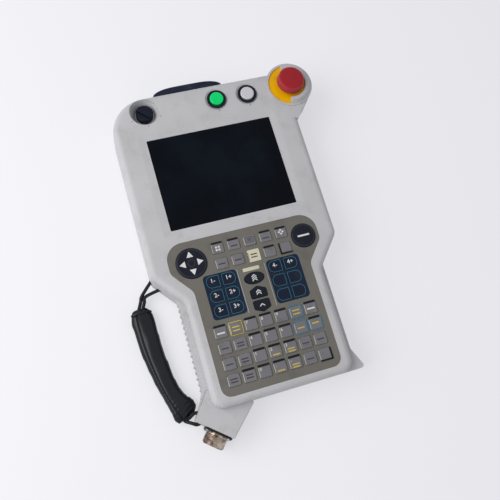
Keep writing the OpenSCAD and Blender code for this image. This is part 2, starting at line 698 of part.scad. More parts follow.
module card_socket() {
    color("darkgray") difference() {
        translate([arch_x - card_w / 2 - 3, head_top - 38, slot_z - 5])
            cube([card_w + 13, 38 - wall - snug, 10]);
        translate([arch_x - card_w / 2, head_top - 34, slot_z - 2.9]) cube([card_w, 40, 5.8]);
        translate([arch_x + card_w / 2 + 3.4, head_top - 20, slot_z - 1.9]) cube([5.8, 30, 3.8]);
    }
}
module card_eject_button() {
    color(black) translate([arch_x + card_w / 2 + 3.4 + fit, head_top - 15.5, slot_z - 1.9 + fit])
        cube([5.8 - 2 * fit, 15.3, 3.8 - 2 * fit]);
}

// ---- enabling switch in the back of the grip ----
lever_edge = hinge_x + 2 - lever_w;
lever_section = [[hinge_x + 1, 11.6, 0.6, 2], [hinge_x, 9.4, 1, 2], [hinge_x - 8, 5.4, 5, 4],
    [lever_edge + 5, 4.2, 5, 4], [lever_edge, 6.5, 2, 3], [lever_edge, 11.6, 0.6, 2]];
module enable_lever() {
    color([0.12, 0.13, 0.16]) difference() {
        union() {
            translate([0, lever_y[0], 0]) rotate([90, 0, 180]) mirror([1, 0, 0])
                linear_extrude(lever_l) polygon(rounded(lever_section));
            translate([hinge_x, lever_y[1], hinge_z]) rotate([90, 0, 0]) cylinder(r = 3, h = lever_l);
        }
        translate([hinge_x, lever_y[1] + 1, hinge_z]) rotate([90, 0, 0]) cylinder(r = 1.56, h = lever_l + 2);
    }
}
module enable_pin() {
    color("silver") translate([hinge_x, lever_y[1] + 3.8, hinge_z]) rotate([90, 0, 0])
        cylinder(r = 1.5, h = lever_l + 7.6);
}
module enable_switch() {
    color("dimgray") {
        translate([hinge_x - 22, lever_mid - 10, pocket_top - 3]) cube([13, 20, 3 - eps]);
        translate([hinge_x - 15.5, lever_mid, pocket_top - 4.6]) cylinder(r = 2.2, h = 2);
    }
}

// ---- cable connector ----
plug_a = 40;             // turn of the connector away from straight down, towards the strap
plug_z = box_h / 2 + 3;
plug_at = [15.1 - foot_x, -foot_y - 20.3];
module along_plug(d = 0) {
    translate([plug_at[0], plug_at[1], plug_z]) rotate([0, 0, -plug_a]) rotate([90, 0, 0]) translate([0, 0, d])
        children();
}
module connector_box() {
    color(grey) difference() {
        union() {
            plate(box_outline, 3.6, 3 + box_h - 0.6);
            plate(inset(box_outline, 0.6), 3, 3 + box_h);
        }
        plate(inset(box_outline, 6), 6, box_h);
        along_plug(-14) cylinder(r = 9.6, h = 15);
        along_plug(-0.4) plate(box_corners(flange_w + 2 * snug, flange_w + 2 * snug, 1.5), 0, 3);
        for (x = [-1, 1]) for (y = [-1, 1]) along_plug(-7) translate([x, y, 0] * (flange_w / 2 - 3))
            cylinder(r = 1.3, h = 8);
        strap_groove(lug_at, lug_r);
    }
}
lug_at = [-foot_x - 1.6, -foot_y - 1.4];
lug_r = 3.6;
module connector_flange() {
    color([0.2, 0.2, 0.21]) along_plug(-0.4) difference() {
        plate(box_corners(flange_w, flange_w, 1.5), 0, 2.2);
        translate([0, 0, -1]) cylinder(r = plug_r - 1.8, h = 5);
        for (x = [-1, 1]) for (y = [-1, 1]) translate([x, y, -1 / (flange_w / 2 - 3)] * (flange_w / 2 - 3))
            cylinder(r = 1.5, h = 5);
    }
}
module cable_receptacle() {
    color([0.6, 0.57, 0.5]) along_plug(1.8) difference() {
        union() {
            cylinder(r = plug_r, h = plug_l - 1.2);
            translate([0, 0, plug_l - 1.2 - eps]) cylinder(r = plug_r - 1, h = 1.2 + eps);
        }
        translate([0, 0, -1]) cylinder(r = plug_r - 2.4, h = plug_l + 3);
    }
}
module receptacle_insert() {
    color(black) along_plug(-12) {
        difference() {
            cylinder(r = plug_r - 2.5, h = plug_l + 12 - 1.2);
            for (k = [0:5]) rotate([0, 0, 60 * k]) translate([5.2, 0, plug_l + 4])
                cylinder(r = 0.8, h = 20, $fn = 16);
        }
    }
}
module flange_screws() {
    color("silver") for (x = [-1, 1]) for (y = [-1, 1])
        along_plug(-6) translate([x, y, 0] * (flange_w / 2 - 3)) {
        cylinder(r = 1.2, h = 8);
        translate([0, 0, 7.8]) cylinder(r = 2.2, h = 1.2);
    }
}

// ---- hand strap ----
// The padded sleeve lies beside the grip; its ends stop short of the two cord loops.
sleeve_top_y = -shoulder_y - 21.5;
sleeve_low = [[-foot_x - 0.5, 12.5 - foot_y], [-foot_x - 22.5, -foot_y - 2]];
sleeve_outline = [[-front_w2 - 3.5, sleeve_top_y, 4, 4], [-front_w2 - 1.5, 87 - foot_y, 90, 5],
    [-foot_x - 7.5, 36 - foot_y, 30, 4], [each sleeve_low[0], 3, 3], [each sleeve_low[1], 4, 4],
    [-front_w2 - 25.5, 67 - foot_y, 220, 6], [-front_w2 - 28.5, sleeve_top_y, 6, 4]];
top_end = [-front_w2 - 14, sleeve_top_y];
low_end = (sleeve_low[0] + sleeve_low[1]) / 2;
low_face = inward(unit(sleeve_low[0] - sleeve_low[1]));
module hand_sleeve() {
    color(black) plate(sleeve_outline, 0, sleeve_t);
}
// Round cord of radius r through points [x, y, z].
module cord(points, r) {
    sides = 8;
    n = len(points);
    polyhedron(
        points = [for (i = [0:n - 1])
            let (d = unit(points[min(i + 1, n - 1)] - points[max(i - 1, 0)]),
                 s2 = unit(inward(d)), s = [s2[0], s2[1], 0], u = cross(s, d))
            for (k = [0:sides - 1]) let (a = 360 * k / sides) points[i] + r * (cos(a) * s + sin(a) * u)],
        faces = concat(
            [for (i = [0:n - 2]) for (k = [0:sides - 1]) let (l = (k + 1) % sides)
                each [[i * sides + k, (i + 1) * sides + l, i * sides + l],
                    [i * sides + k, (i + 1) * sides + k, (i + 1) * sides + l]]],
            [[for (k = [0:sides - 1]) k]], [[for (k = [sides - 1:-1:0]) (n - 1) * sides + k]]));
}
// Two strands leave the sleeve's end at e, facing along f, and close round the post at p.
function loop_path(e, f, p, r) =
    let (q = e + 5 * f, d = norm(q - p), a = atan2(q[1] - p[1], q[0] - p[0]), b = acos(r / d),
         s = (cord_r + 0.15) * inward(f), z0 = sleeve_t / 2)
    concat([for (t = [0.3, 4]) [each (e + t * f + s), z0 + (cord_z - z0) * 0.02 * t]],
        [for (k = [0:16]) let (t = a + b + (360 - 2 * b) * k / 16) [each (p + r * [cos(t), sin(t)]), cord_z]],
        [for (t = [4, 0.3]) [each (e + t * f - s), z0 + (cord_z - z0) * 0.02 * t]]);
module strap_loop_top() {
    color(black) cord(loop_path(top_end, [0, 1], post_at, post_r + cord_r + fit), cord_r);
}
module strap_loop_bottom() {
    color(black) cord(loop_path(low_end, low_face, lug_at, lug_r + cord_r + fit), cord_r);
}

front_cover();
rear_cover();
cover_seal();
cover_screws();
side_cover();
screen_window();
window_gasket();
lcd_module();
main_board();
key_sheet();
key_board();
cursor_key();
select_key();
high_speed_key();
fast_key();
slow_key();
stop_label();
stop_head();
stop_stem();
stop_switch();
push_bezel(start_at);  // start_bezel
push_button(start_at, [0, 0.75, 0.4]);  // start_button
push_bezel(hold_at);  // hold_bezel
push_button(hold_at, [0.85, 0.85, 0.87]);  // hold_button
mode_knob();
mode_switch();
card_cover();
card_cover_pin();
card_socket();
card_eject_button();
enable_lever();
enable_pin();
enable_switch();
connector_box();
connector_flange();
cable_receptacle();
receptacle_insert();
flange_screws();
hand_sleeve();
strap_loop_top();
strap_loop_bottom();
for (c = [0:3]) for (r = [0:AXIS_ROWS - 1])
    axis_key(c, r);
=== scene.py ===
from math import acos, atan2, cos, pi, radians, sin, tan
import bpy
import bmesh
from mathutils import Matrix, Vector, noise
from mathutils.bvhtree import BVHTree


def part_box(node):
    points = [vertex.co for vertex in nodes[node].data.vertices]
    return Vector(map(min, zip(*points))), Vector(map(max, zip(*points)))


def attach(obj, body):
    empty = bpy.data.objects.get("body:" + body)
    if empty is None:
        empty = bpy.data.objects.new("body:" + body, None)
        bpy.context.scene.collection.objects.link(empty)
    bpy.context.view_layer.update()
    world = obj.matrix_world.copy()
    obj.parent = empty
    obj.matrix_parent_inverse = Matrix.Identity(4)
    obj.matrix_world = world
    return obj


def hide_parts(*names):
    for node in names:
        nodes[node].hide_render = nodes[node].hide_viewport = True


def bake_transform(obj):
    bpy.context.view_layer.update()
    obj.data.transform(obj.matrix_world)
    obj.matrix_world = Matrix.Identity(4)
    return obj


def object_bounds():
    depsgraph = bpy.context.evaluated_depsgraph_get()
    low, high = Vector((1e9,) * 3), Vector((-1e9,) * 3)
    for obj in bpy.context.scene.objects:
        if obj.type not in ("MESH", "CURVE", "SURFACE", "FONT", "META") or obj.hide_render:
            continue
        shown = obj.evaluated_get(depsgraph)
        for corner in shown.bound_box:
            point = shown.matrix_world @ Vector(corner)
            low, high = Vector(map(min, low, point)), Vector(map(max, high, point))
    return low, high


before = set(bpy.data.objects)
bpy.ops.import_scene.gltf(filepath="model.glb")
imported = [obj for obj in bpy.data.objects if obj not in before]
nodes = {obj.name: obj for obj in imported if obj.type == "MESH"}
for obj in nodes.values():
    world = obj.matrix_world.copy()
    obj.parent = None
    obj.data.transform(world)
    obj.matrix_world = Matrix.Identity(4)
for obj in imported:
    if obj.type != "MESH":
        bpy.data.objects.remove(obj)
cad_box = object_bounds()
collection = bpy.context.scene.collection
MM = 0.001


# ---- Bench, camera and lamps ----
# The pendant lies on its back on a pale paper bench, under one wide soft lamp at its left and an
# even room light. It is seen from above and from its lower left.
def linear(code):
    """A six-digit paint code as linear red, green and blue."""
    parts = [int(code[i:i + 2], 16) / 255 for i in (0, 2, 4)]
    return [p / 12.92 if p <= 0.04045 else ((p + 0.055) / 1.055) ** 2.4 for p in parts]


def rgba(code):
    """A six-digit paint code as a node's colour."""
    return (*linear(code), 1)


def add(tree, kind, inputs=None, **settings):
    """A node of that kind, with its settings, and with values or links on its inputs."""
    made = tree.nodes.new(kind)
    for key, value in settings.items():
        setattr(made, key, value)
    for key, value in (inputs or {}).items():
        if isinstance(value, bpy.types.NodeSocket):
            tree.links.new(value, made.inputs[key])
        else:
            made.inputs[key].default_value = value
    return made


def shown_pale(tree, lit, colour, strength):
    """Mixes a lit shader with a plain glow that only the eye, gloss and glass see."""
    path = add(tree, "ShaderNodeLightPath")
    seen = add(tree, "ShaderNodeMath", {0: path.outputs["Is Camera Ray"], 1: path.outputs["Is Glossy Ray"]},
               operation="MAXIMUM")
    seen = add(tree, "ShaderNodeMath", {0: seen.outputs[0], 1: path.outputs["Is Transmission Ray"]},
               operation="MAXIMUM")
    glow = add(tree, "ShaderNodeEmission", {"Color": rgba(colour), "Strength": 1})
    share = add(tree, "ShaderNodeMath", {0: seen.outputs[0], 1: strength}, operation="MULTIPLY")
    return add(tree, "ShaderNodeMixShader", {0: share.outputs[0], 1: lit, 2: glow.outputs[0]}).outputs[0]


scene = bpy.context.scene
scene.view_settings.view_transform = "Standard"
camera = bpy.data.objects.new("camera", bpy.data.cameras.new("camera"))
camera.data.lens = 46.8
camera.data.clip_start = 0.01
camera.location = (-0.13586, -0.18041, 0.68558)
camera.rotation_euler = (radians(16.231), radians(-8.077), radians(-16.519))
collection.objects.link(camera)
scene.camera = camera

lamp = bpy.data.objects.new("softbox", bpy.data.lights.new("softbox", "AREA"))
lamp.data.shape = "RECTANGLE"
lamp.data.size = 1.2
lamp.data.size_y = 0.9
lamp.data.energy = 9.6
lamp.location = (-0.85, 0.1, 0.8)
lamp.rotation_euler = (-lamp.location).to_track_quat("-Z", "Y").to_euler()
collection.objects.link(lamp)

world = bpy.data.worlds.new("room")
scene.world = world
world.use_nodes = True
room = world.node_tree
room.nodes.clear()
ambient = add(room, "ShaderNodeBackground", {"Color": rgba("f6f6fa"), "Strength": 0.48})
add(room, "ShaderNodeOutputWorld", {"Surface": shown_pale(room, ambient.outputs[0], "f4f4f9", 1.0)})

bench = bpy.data.objects.new("bench", bpy.data.meshes.new("bench"))
plane = bmesh.new()
bmesh.ops.create_grid(plane, x_segments=1, y_segments=1, size=3)
bmesh.ops.translate(plane, verts=plane.verts, vec=(0, 0, cad_box[0][2] - 0.3 * MM))
plane.to_mesh(bench.data)
collection.objects.link(bench)
paper = bpy.data.materials.new("bench_paper")
paper.use_nodes = True
tree = paper.node_tree
tree.nodes.clear()
lit = add(tree, "ShaderNodeBsdfDiffuse", {"Color": rgba("efeff4")})
add(tree, "ShaderNodeOutputMaterial", {"Surface": shown_pale(tree, lit.outputs[0], "fcfcff", 0.55)})
bench.data.materials.append(paper)


# ---- Covers ----
# Two halves of light grey injection-moulded plastic with a fine matt texture, screwed together
# from the back with a rubber seal between them. Handling has left faint smears, small scratches
# and a few specks of dirt.
FLOAT, VECTOR, GEOMETRY = "NodeSocketFloat", "NodeSocketVector", "NodeSocketGeometry"


def new_tree(name, kind, inputs, outputs):
    """A node tree with named inputs (with their defaults) and outputs, and the sockets of both ends."""
    tree = bpy.data.node_groups.new(name, kind)
    for label, socket_type, value in inputs:
        socket = tree.interface.new_socket(label, in_out="INPUT", socket_type=socket_type)
        if value is not None:
            socket.default_value = value
    for label, socket_type in outputs:
        tree.interface.new_socket(label, in_out="OUTPUT", socket_type=socket_type)
    return tree, tree.nodes.new("NodeGroupInput").outputs, tree.nodes.new("NodeGroupOutput").inputs


# Fine moulded texture: a height for the bump, and a slow mottle of the plastic's tone.
grain_group, take, give = new_tree("moulded_texture", "ShaderNodeTree",
                                   [("Vector", VECTOR, None), ("Fineness", FLOAT, 1800.0)],
                                   [("Height", FLOAT), ("Mottle", FLOAT)])
fine = add(grain_group, "ShaderNodeTexNoise", {"Vector": take["Vector"], "Scale": take["Fineness"],
                                               "Detail": 2.0, "Roughness": 0.6})
slow = add(grain_group, "ShaderNodeTexNoise", {"Vector": take["Vector"], "Scale": 22.0, "Detail": 3.0})
grain_group.links.new(fine.outputs[0], give["Height"])
grain_group.links.new(slow.outputs[0], give["Mottle"])


def mask(tree, value, low, high, amount):
    """Value between low and high as a mask from 0 to amount."""
    made = add(tree, "ShaderNodeMapRange", {"Value": value, "From Min": low, "From Max": high, "To Min": 0.0,
                                            "To Max": amount}, interpolation_type="SMOOTHSTEP")
    return made.outputs["Result"]


# Handling: smears where hands rub, thin broken scratches, and small specks of dirt.
handling_group, take, give = new_tree(
    "handling_marks", "ShaderNodeTree",
    [("Vector", VECTOR, None), ("Patch Size", FLOAT, 60.0), ("Smear", FLOAT, 0.5), ("Scratches", FLOAT, 0.5),
     ("Specks", FLOAT, 0.5)],
    [("Smear", FLOAT), ("Scratch", FLOAT), ("Speck", FLOAT)])
cloud = add(handling_group, "ShaderNodeTexNoise", {"Vector": take["Vector"], "Scale": take["Patch Size"],
                                                   "Detail": 5.0, "Roughness": 0.62})
handling_group.links.new(mask(handling_group, cloud.outputs[0], 0.5, 0.72, take["Smear"]), give["Smear"])
drawn = add(handling_group, "ShaderNodeMapping", {"Vector": take["Vector"], "Rotation": (0, 0, 0.7),
                                                  "Scale": (30.0, 420.0, 60.0)})
hair = add(handling_group, "ShaderNodeTexNoise", {"Vector": drawn.outputs[0], "Scale": 1.0, "Detail": 1.0,
                                                  "Distortion": 0.4})
away = add(handling_group, "ShaderNodeMath", {0: hair.outputs[0], 1: 0.5}, operation="SUBTRACT")
away = add(handling_group, "ShaderNodeMath", {0: away.outputs[0]}, operation="ABSOLUTE")
thin = mask(handling_group, away.outputs[0], 0.006, 0.001, take["Scratches"])
broken = mask(handling_group, cloud.outputs[0], 0.52, 0.6, 1.0)
scratch = add(handling_group, "ShaderNodeMath", {0: thin, 1: broken}, operation="MULTIPLY")
handling_group.links.new(scratch.outputs[0], give["Scratch"])
dots = add(handling_group, "ShaderNodeTexVoronoi", {"Vector": take["Vector"], "Scale": 150.0})
handling_group.links.new(mask(handling_group, dots.outputs["Distance"], 0.07, 0.03, take["Specks"]),
                         give["Speck"])


def layered(tree, below, above, share):
    """Colour above laid over colour below by a mask."""
    made = add(tree, "ShaderNodeMix", {"Factor": share}, data_type="RGBA")
    for index, colour in ((6, below), (7, above)):
        if isinstance(colour, bpy.types.NodeSocket):
            tree.links.new(colour, made.inputs[index])
        else:
            made.inputs[index].default_value = rgba(colour)
    return made.outputs[2]


def finish(name, colour, tone, soil="7c776c", rough=0.5, sheen_spread=0.12, fineness=1800.0, bump=0.12,
           patches=60.0, smear=0.35, scratches=0.5, specks=0.4, mottle=0.5, **shader):
    """A moulded or painted finish: colour mottled towards tone, soiled by handling."""
    shader.setdefault("Specular_IOR_Level", 0.16)
    made = bpy.data.materials.new(name)
    made.use_nodes = True
    tree = made.node_tree
    paint = tree.nodes["Principled BSDF"]
    for key, value in shader.items():
        paint.inputs[key.replace("_", " ")].default_value = value
    where = add(tree, "ShaderNodeTexCoord").outputs["Object"]
    texture = add(tree, "ShaderNodeGroup", node_tree=grain_group)
    tree.links.new(where, texture.inputs["Vector"])
    texture.inputs["Fineness"].default_value = fineness
    marks = add(tree, "ShaderNodeGroup", node_tree=handling_group)
    tree.links.new(where, marks.inputs["Vector"])
    for key, value in (("Patch Size", patches), ("Smear", smear), ("Scratches", scratches),
                       ("Specks", specks)):
        marks.inputs[key].default_value = value
    mottled = mask(tree, texture.outputs["Mottle"], 0.35, 0.65, mottle)
    base = layered(tree, colour, tone, mottled)
    base = layered(tree, base, soil, marks.outputs["Smear"])
    base = layered(tree, base, soil, marks.outputs["Speck"])
    base = layered(tree, base, tone, marks.outputs["Scratch"])
    tree.links.new(base, paint.inputs["Base Color"])
    spread = mask(tree, marks.outputs["Smear"], 0.0, 1.0, sheen_spread)
    tree.links.new(add(tree, "ShaderNodeMath", {0: spread, 1: rough}, operation="ADD").outputs[0],
                   paint.inputs["Roughness"])
    height = add(tree, "ShaderNodeMath", {0: texture.outputs["Height"], 1: marks.outputs["Scratch"]},
                 operation="SUBTRACT")
    rise = add(tree, "ShaderNodeBump", {"Height": height.outputs[0], "Strength": bump, "Distance": 0.0002})
    tree.links.new(rise.outputs[0], paint.inputs["Normal"])
    return made


def dress(material, slot, *names):
    """Gives CAD nodes a finish."""
    for name in names:
        nodes[name].data.materials.clear()
        nodes[name].data.materials.append(material)


housing = finish("housing_plastic", "c6c6c8", "bcbbbd", rough=0.48, bump=0.16, smear=0.16, scratches=0.35,
                 specks=0.25, Specular_IOR_Level=0.3)
dress(housing, "housing", "front_cover", "rear_cover", "connector_box", "side_cover")
dress(finish("seal_rubber", "1b1b1c", "242425", rough=0.7, fineness=900.0), "seal_rubber", "cover_seal",
      "window_gasket")
steel = finish("screw_steel", "8d8e92", "6d6e72", soil="4a4641", rough=0.34, Metallic=1.0, bump=0.05)
dress(steel, "screw_steel", "cover_screws", "flange_screws")


# ---- Screen ----
# A flat pane of hard glass over the display, printed black round its rim; it is switched off, so
# it shows only a deep blue black with the cloudy film that fingers leave.
pane = finish("screen_glass", "060a11", "0a101a", soil="162029", rough=0.1, sheen_spread=0.35, bump=0.0,
              patches=18.0, smear=0.3, scratches=0.12, specks=0.3, mottle=0.9, Specular_IOR_Level=0.05)
dress(pane, "screen_glass", "screen_window")
dress(finish("display_panel", "12151b", "0d1015", rough=0.4, bump=0.02), "display", "lcd_module")
dress(finish("board_green", "1d4a2c", "163a22", soil="8a8a70", rough=0.45, bump=0.05), "circuit_board",
      "main_board", "key_board")
inner = finish("inner_plastic", "55575b", "4a4c50", rough=0.55)


# ---- Keypad sheet ----
# One soft grey-green film over the whole lower front, embossed over its 38 small keys and cut out
# for the larger ones; its colours, digits and rules are screen printed.
film = finish("key_film", "75726b", "6e6b63", soil="4f4d46", rough=0.5, bump=0.1, smear=0.22, specks=0.3)
dress(film, "key_film", "key_sheet")
PAD_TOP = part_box("key_sheet")[1].z / MM
SHEET_TOP = PAD_TOP - 0.5    # the film between its embossed keys
PRINT = 0.06                 # thickness of a print, mm


def finished(tree, laid, material, out):
    """Ends a geometry tree: instances made real, in their finish."""
    real = add(tree, "GeometryNodeRealizeInstances", {"Geometry": laid.outputs[0]})
    done = add(tree, "GeometryNodeSetMaterial", {"Geometry": real.outputs[0], "Material": material})
    tree.links.new(done.outputs[0], out)


def marks_tree():
    """Geometry nodes: a rounded plate, or its outline where Line is above 0, on every point."""
    tree, take, give = new_tree(
        "printed_marks", "GeometryNodeTree",
        [("Geometry", GEOMETRY, None), ("Width", FLOAT, 0.01), ("Height", FLOAT, 0.01),
         ("Corner", FLOAT, 0.001), ("Thickness", FLOAT, 0.0001), ("Line", FLOAT, 0.0), ("Turn", FLOAT, 0.0),
         ("Finish", "NodeSocketMaterial", None)],
        [("Geometry", GEOMETRY)])
    shape = add(tree, "GeometryNodeCurvePrimitiveQuadrilateral",
                {"Width": take["Width"], "Height": take["Height"]})
    shape = add(tree, "GeometryNodeFilletCurve",
                {"Curve": shape.outputs[0], "Count": 4, "Radius": take["Corner"], "Limit Radius": True},
                mode="POLY")
    # solid plate: the outline filled, lifted, and closed below by its turned copy
    face = add(tree, "GeometryNodeFillCurve", {"Curve": shape.outputs[0]}, mode="NGONS")
    lifted = add(tree, "GeometryNodeExtrudeMesh", {"Mesh": face.outputs[0], "Offset Scale": take["Thickness"],
                                                   "Individual": False}, mode="FACES")
    under = add(tree, "GeometryNodeFlipFaces", {"Mesh": face.outputs[0]})
    plate = add(tree, "GeometryNodeJoinGeometry")
    tree.links.new(lifted.outputs[0], plate.inputs[0])
    tree.links.new(under.outputs[0], plate.inputs[0])
    plate = add(tree, "GeometryNodeMergeByDistance", {"Geometry": plate.outputs[0], "Distance": 1e-6})
    # outline: a small bar swept round the same shape
    bar = add(tree, "GeometryNodeCurvePrimitiveQuadrilateral",
              {"Width": take["Line"], "Height": take["Thickness"]})
    rim = add(tree, "GeometryNodeCurveToMesh", {"Curve": shape.outputs[0], "Profile Curve": bar.outputs[0]})
    hollow = add(tree, "FunctionNodeCompare", {"A": take["Line"], "B": 1e-6}, data_type="FLOAT",
                 operation="GREATER_THAN")
    choice = add(tree, "GeometryNodeSwitch", {"Switch": hollow.outputs[0], "False": plate.outputs[0],
                                              "True": rim.outputs[0]}, input_type="GEOMETRY")
    turn = add(tree, "ShaderNodeCombineXYZ", {"Z": take["Turn"]})
    laid = add(tree, "GeometryNodeInstanceOnPoints",
               {"Points": take["Geometry"], "Instance": choice.outputs[0], "Rotation": turn.outputs[0]})
    finished(tree, laid, take["Finish"], give[0])
    return tree


def settle(made, body):
    """A finished object: put in the scene and riding on its body."""
    if made.name not in collection.objects:
        collection.objects.link(made)
    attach(made, body)
    return made


def evaluated(made):
    """The plain mesh of an object with its modifiers, text or curve worked out."""
    bpy.context.view_layer.update()
    return bpy.data.meshes.new_from_object(made.evaluated_get(bpy.context.evaluated_depsgraph_get()))


def repeated(name, tree, places, body, slot, edges=(), **values):
    """Runs a geometry nodes tree on points (mm) with its inputs set, and keeps the plain mesh."""
    seed = bpy.data.meshes.new(name)
    seed.from_pydata([Vector(p) * MM for p in places], edges, [])
    made = bpy.data.objects.new(name, seed)
    collection.objects.link(made)
    modifier = made.modifiers.new(name, "NODES")
    modifier.node_group = tree
    for item in tree.interface.items_tree:
        if item.in_out == "INPUT" and item.name in values:
            modifier[item.identifier] = values[item.name]
    plain = evaluated(made)
    made.modifiers.clear()
    made.data = plain
    plain.name = name
    return settle(made, body)


MARKS = marks_tree()


def prints(name, places, size, ink, corner=0.3, line=0.0, turn=0.0, body="root", slot="key_film",
           thick=PRINT):
    """Printed plates or outlines of one size and ink, on points in mm."""
    return repeated(name, MARKS, places, body, slot, Width=size[0] * MM, Height=size[1] * MM,
                    Corner=corner * MM, Thickness=thick * MM, Line=line * MM, Turn=turn, Finish=ink)


NUM_COLS = [16 * k for k in range(-3, 4)]
NUM_ROWS = [-100.2 - 16.2 * k for k in range(4)]
FN_COLS = [-27.5, -10.2, 7.1, 24.5, 41.8]
FN_ROWS = [-15.6, -32.4]
NUM_PAD, FN_PAD = (12.7, 12.2), (12.3, 11.3)
PAD_CORNER = 1.1
cells = [(x, y, PAD_TOP) for y in NUM_ROWS for x in NUM_COLS]
functions = [(x, y, PAD_TOP) for y in FN_ROWS for x in FN_COLS]
lit_key = (FN_COLS[2], FN_ROWS[1], PAD_TOP)


def inside(size, gap):
    """The size of a shape that lies gap / 2 inside another all round."""
    return size[0] - gap, size[1] - gap


def moved(places, x, y, z):
    """Places shifted by x, y and z (mm)."""
    return [(p[0] + x, p[1] + y, p[2] + z) for p in places]


pad_ink = finish("pad_grey", "7b7a7d", "727175", soil="4a4843", rough=0.42, bump=0.06, smear=0.3,
                 patches=90.0)
# Light outlines round every pad: painted highlight where the raised, bevelled edges of the pads catch the
# light.
painted_edge_ink = finish("pad_edge_highlight", "b4b2ab", "9b9992", soil="5f5d55", rough=0.35, bump=0.03, smear=0.3)
# Thin light strips down the left side of each pad: painted highlight, the glint of the lamp on the pads' left
# edges.
painted_glint_ink = finish("pad_glint_highlight", "cccbc6", "b5b3ad", soil="7b7971", rough=0.35, bump=0.03, smear=0.3)
prints("number_pads", cells, NUM_PAD, pad_ink, PAD_CORNER)
prints("function_pads", [p for p in functions if p != lit_key], FN_PAD, pad_ink, PAD_CORNER)
prints("number_pad_edge_highlights", moved(cells, 0, 0, 0.03), inside(NUM_PAD, 0.3), painted_edge_ink, PAD_CORNER, line=0.42)
prints("function_pad_edge_highlights", moved(functions, 0, 0, 0.03), inside(FN_PAD, 0.3), painted_edge_ink, PAD_CORNER, line=0.36)
# The painted glints, one down the left edge of each pad.
prints("number_pad_glint_highlights", moved(cells, -6.1, -0.3, 0.06), (0.6, 9.6), painted_glint_ink, 0.25)
prints("function_pad_glint_highlights", moved(functions, -5.9, -0.3, 0.06), (0.5, 8.8), painted_glint_ink, 0.2)

# Inks of the keypad, each rubbed a little by fingers, in two thicknesses of print.
black_ink = finish("black_ink", "0e0e14", "16161c", soil="3a3935", rough=0.45, bump=0.03, smear=0.2)
white_ink = finish("white_ink", "e6e6e4", "cfcfcc", soil="97958e", rough=0.45, bump=0.03, smear=0.3)
yellow_ink = finish("yellow_ink", "d1bb5e", "bba755", soil="857a52", rough=0.45, bump=0.03, smear=0.3)
blue_ink = finish("blue_ink", "4a8aac", "407a98", soil="3f5c70", rough=0.45, bump=0.03, smear=0.3)
dim_ink = finish("dim_ink", "3f3f45", "4a4a50", soil="5a5852", rough=0.45, bump=0.03, smear=0.3)
TOP = PAD_TOP + PRINT + 0.01     # on a pad's own print
RULE, BAR = 0.1, 0.12            # thickness of a rule and of a bar


def key(col, row, dx=0.0, dy=0.0):
    """A place on a number key, counted from the upper left, off its middle by dx and dy."""
    return NUM_COLS[col] + dx, NUM_ROWS[row] + dy, TOP


# Black bars along the tops of most keys.
barred = [(0, 0), (2, 0), (3, 0), (4, 0), (6, 0), (2, 1), (3, 1), (4, 1), (6, 1), (2, 2), (3, 2), (4, 2),
          (1, 3), (2, 3), (3, 3), (4, 3)]
prints("number_top_bars", [key(c, r, dy=6.1) for c, r in barred], (12.4, 2.3), black_ink, 0.9, thick=BAR)
upper_bars = [(x, FN_ROWS[0] + 5.4, TOP) for x in FN_COLS if x != FN_COLS[2]]
prints("function_top_bars", upper_bars + [(FN_COLS[3], FN_ROWS[1] + 5.4, TOP)], (11.6, 2.1), black_ink, 0.9,
       thick=BAR)

# Keys picked out in yellow and blue, and the rules that stand for their captions.
prints("yellow_key_outline", [key(1, 0)], (13.5, 13.1), yellow_ink, 1.3, line=0.8, thick=BAR)
prints("blue_key_outlines", [key(5, 0), key(5, 1), key(6, 1)], (13.5, 13.1), blue_ink, 1.3, line=0.8,
       thick=BAR)
prints("yellow_rules", [key(1, 0, dy=1.4), key(1, 0, dy=-2.2), key(5, 0, dy=1.6), key(5, 0, dy=-2.0),
                        key(5, 1, dy=-0.8), key(6, 1, dy=0.4), key(3, 2, dy=-3.4), key(4, 2, dy=-1.6),
                        key(4, 2, dy=-4.2), key(3, 3, dy=-3.6), key(4, 3, dy=-1.6), key(4, 3, dy=-4.2)],
       (7.6, 1.3), yellow_ink, thick=RULE)
prints("white_rules", [key(0, 0, dy=-1.2), key(6, 0, dy=-0.6)], (8.2, 1.5), white_ink, thick=RULE)
one_rule = [(0, 1), (0, 2), (5, 2), (6, 2), (5, 3)]
two_rules = [(1, 1), (1, 2), (0, 3), (1, 3)]
prints("dim_rules", [key(c, r, dy=-0.6) for c, r in one_rule]
       + [key(c, r, dy=d) for c, r in two_rules for d in (1.0, -1.9)]
       + [(x, FN_ROWS[0] - 1.6, TOP) for x in (FN_COLS[1], FN_COLS[3])]
       + [(x, FN_ROWS[1] - 0.4, TOP) for x in FN_COLS[:2]], (7.4, 1.2), dim_ink, thick=RULE)

# Black bars along two sides of the last key of each block.
prints("corner_bars_flat", [key(6, 3, 0, -6.0), (FN_COLS[4], FN_ROWS[1] - 5.6, TOP)], (12.8, 1.7), black_ink,
       0.4,
       thick=BAR)
prints("corner_bars_tall", [key(6, 3, 6.2, -0.6), (FN_COLS[4] - 6.0, FN_ROWS[1], TOP)], (1.7, 12.0),
       black_ink,
       0.4, thick=BAR)

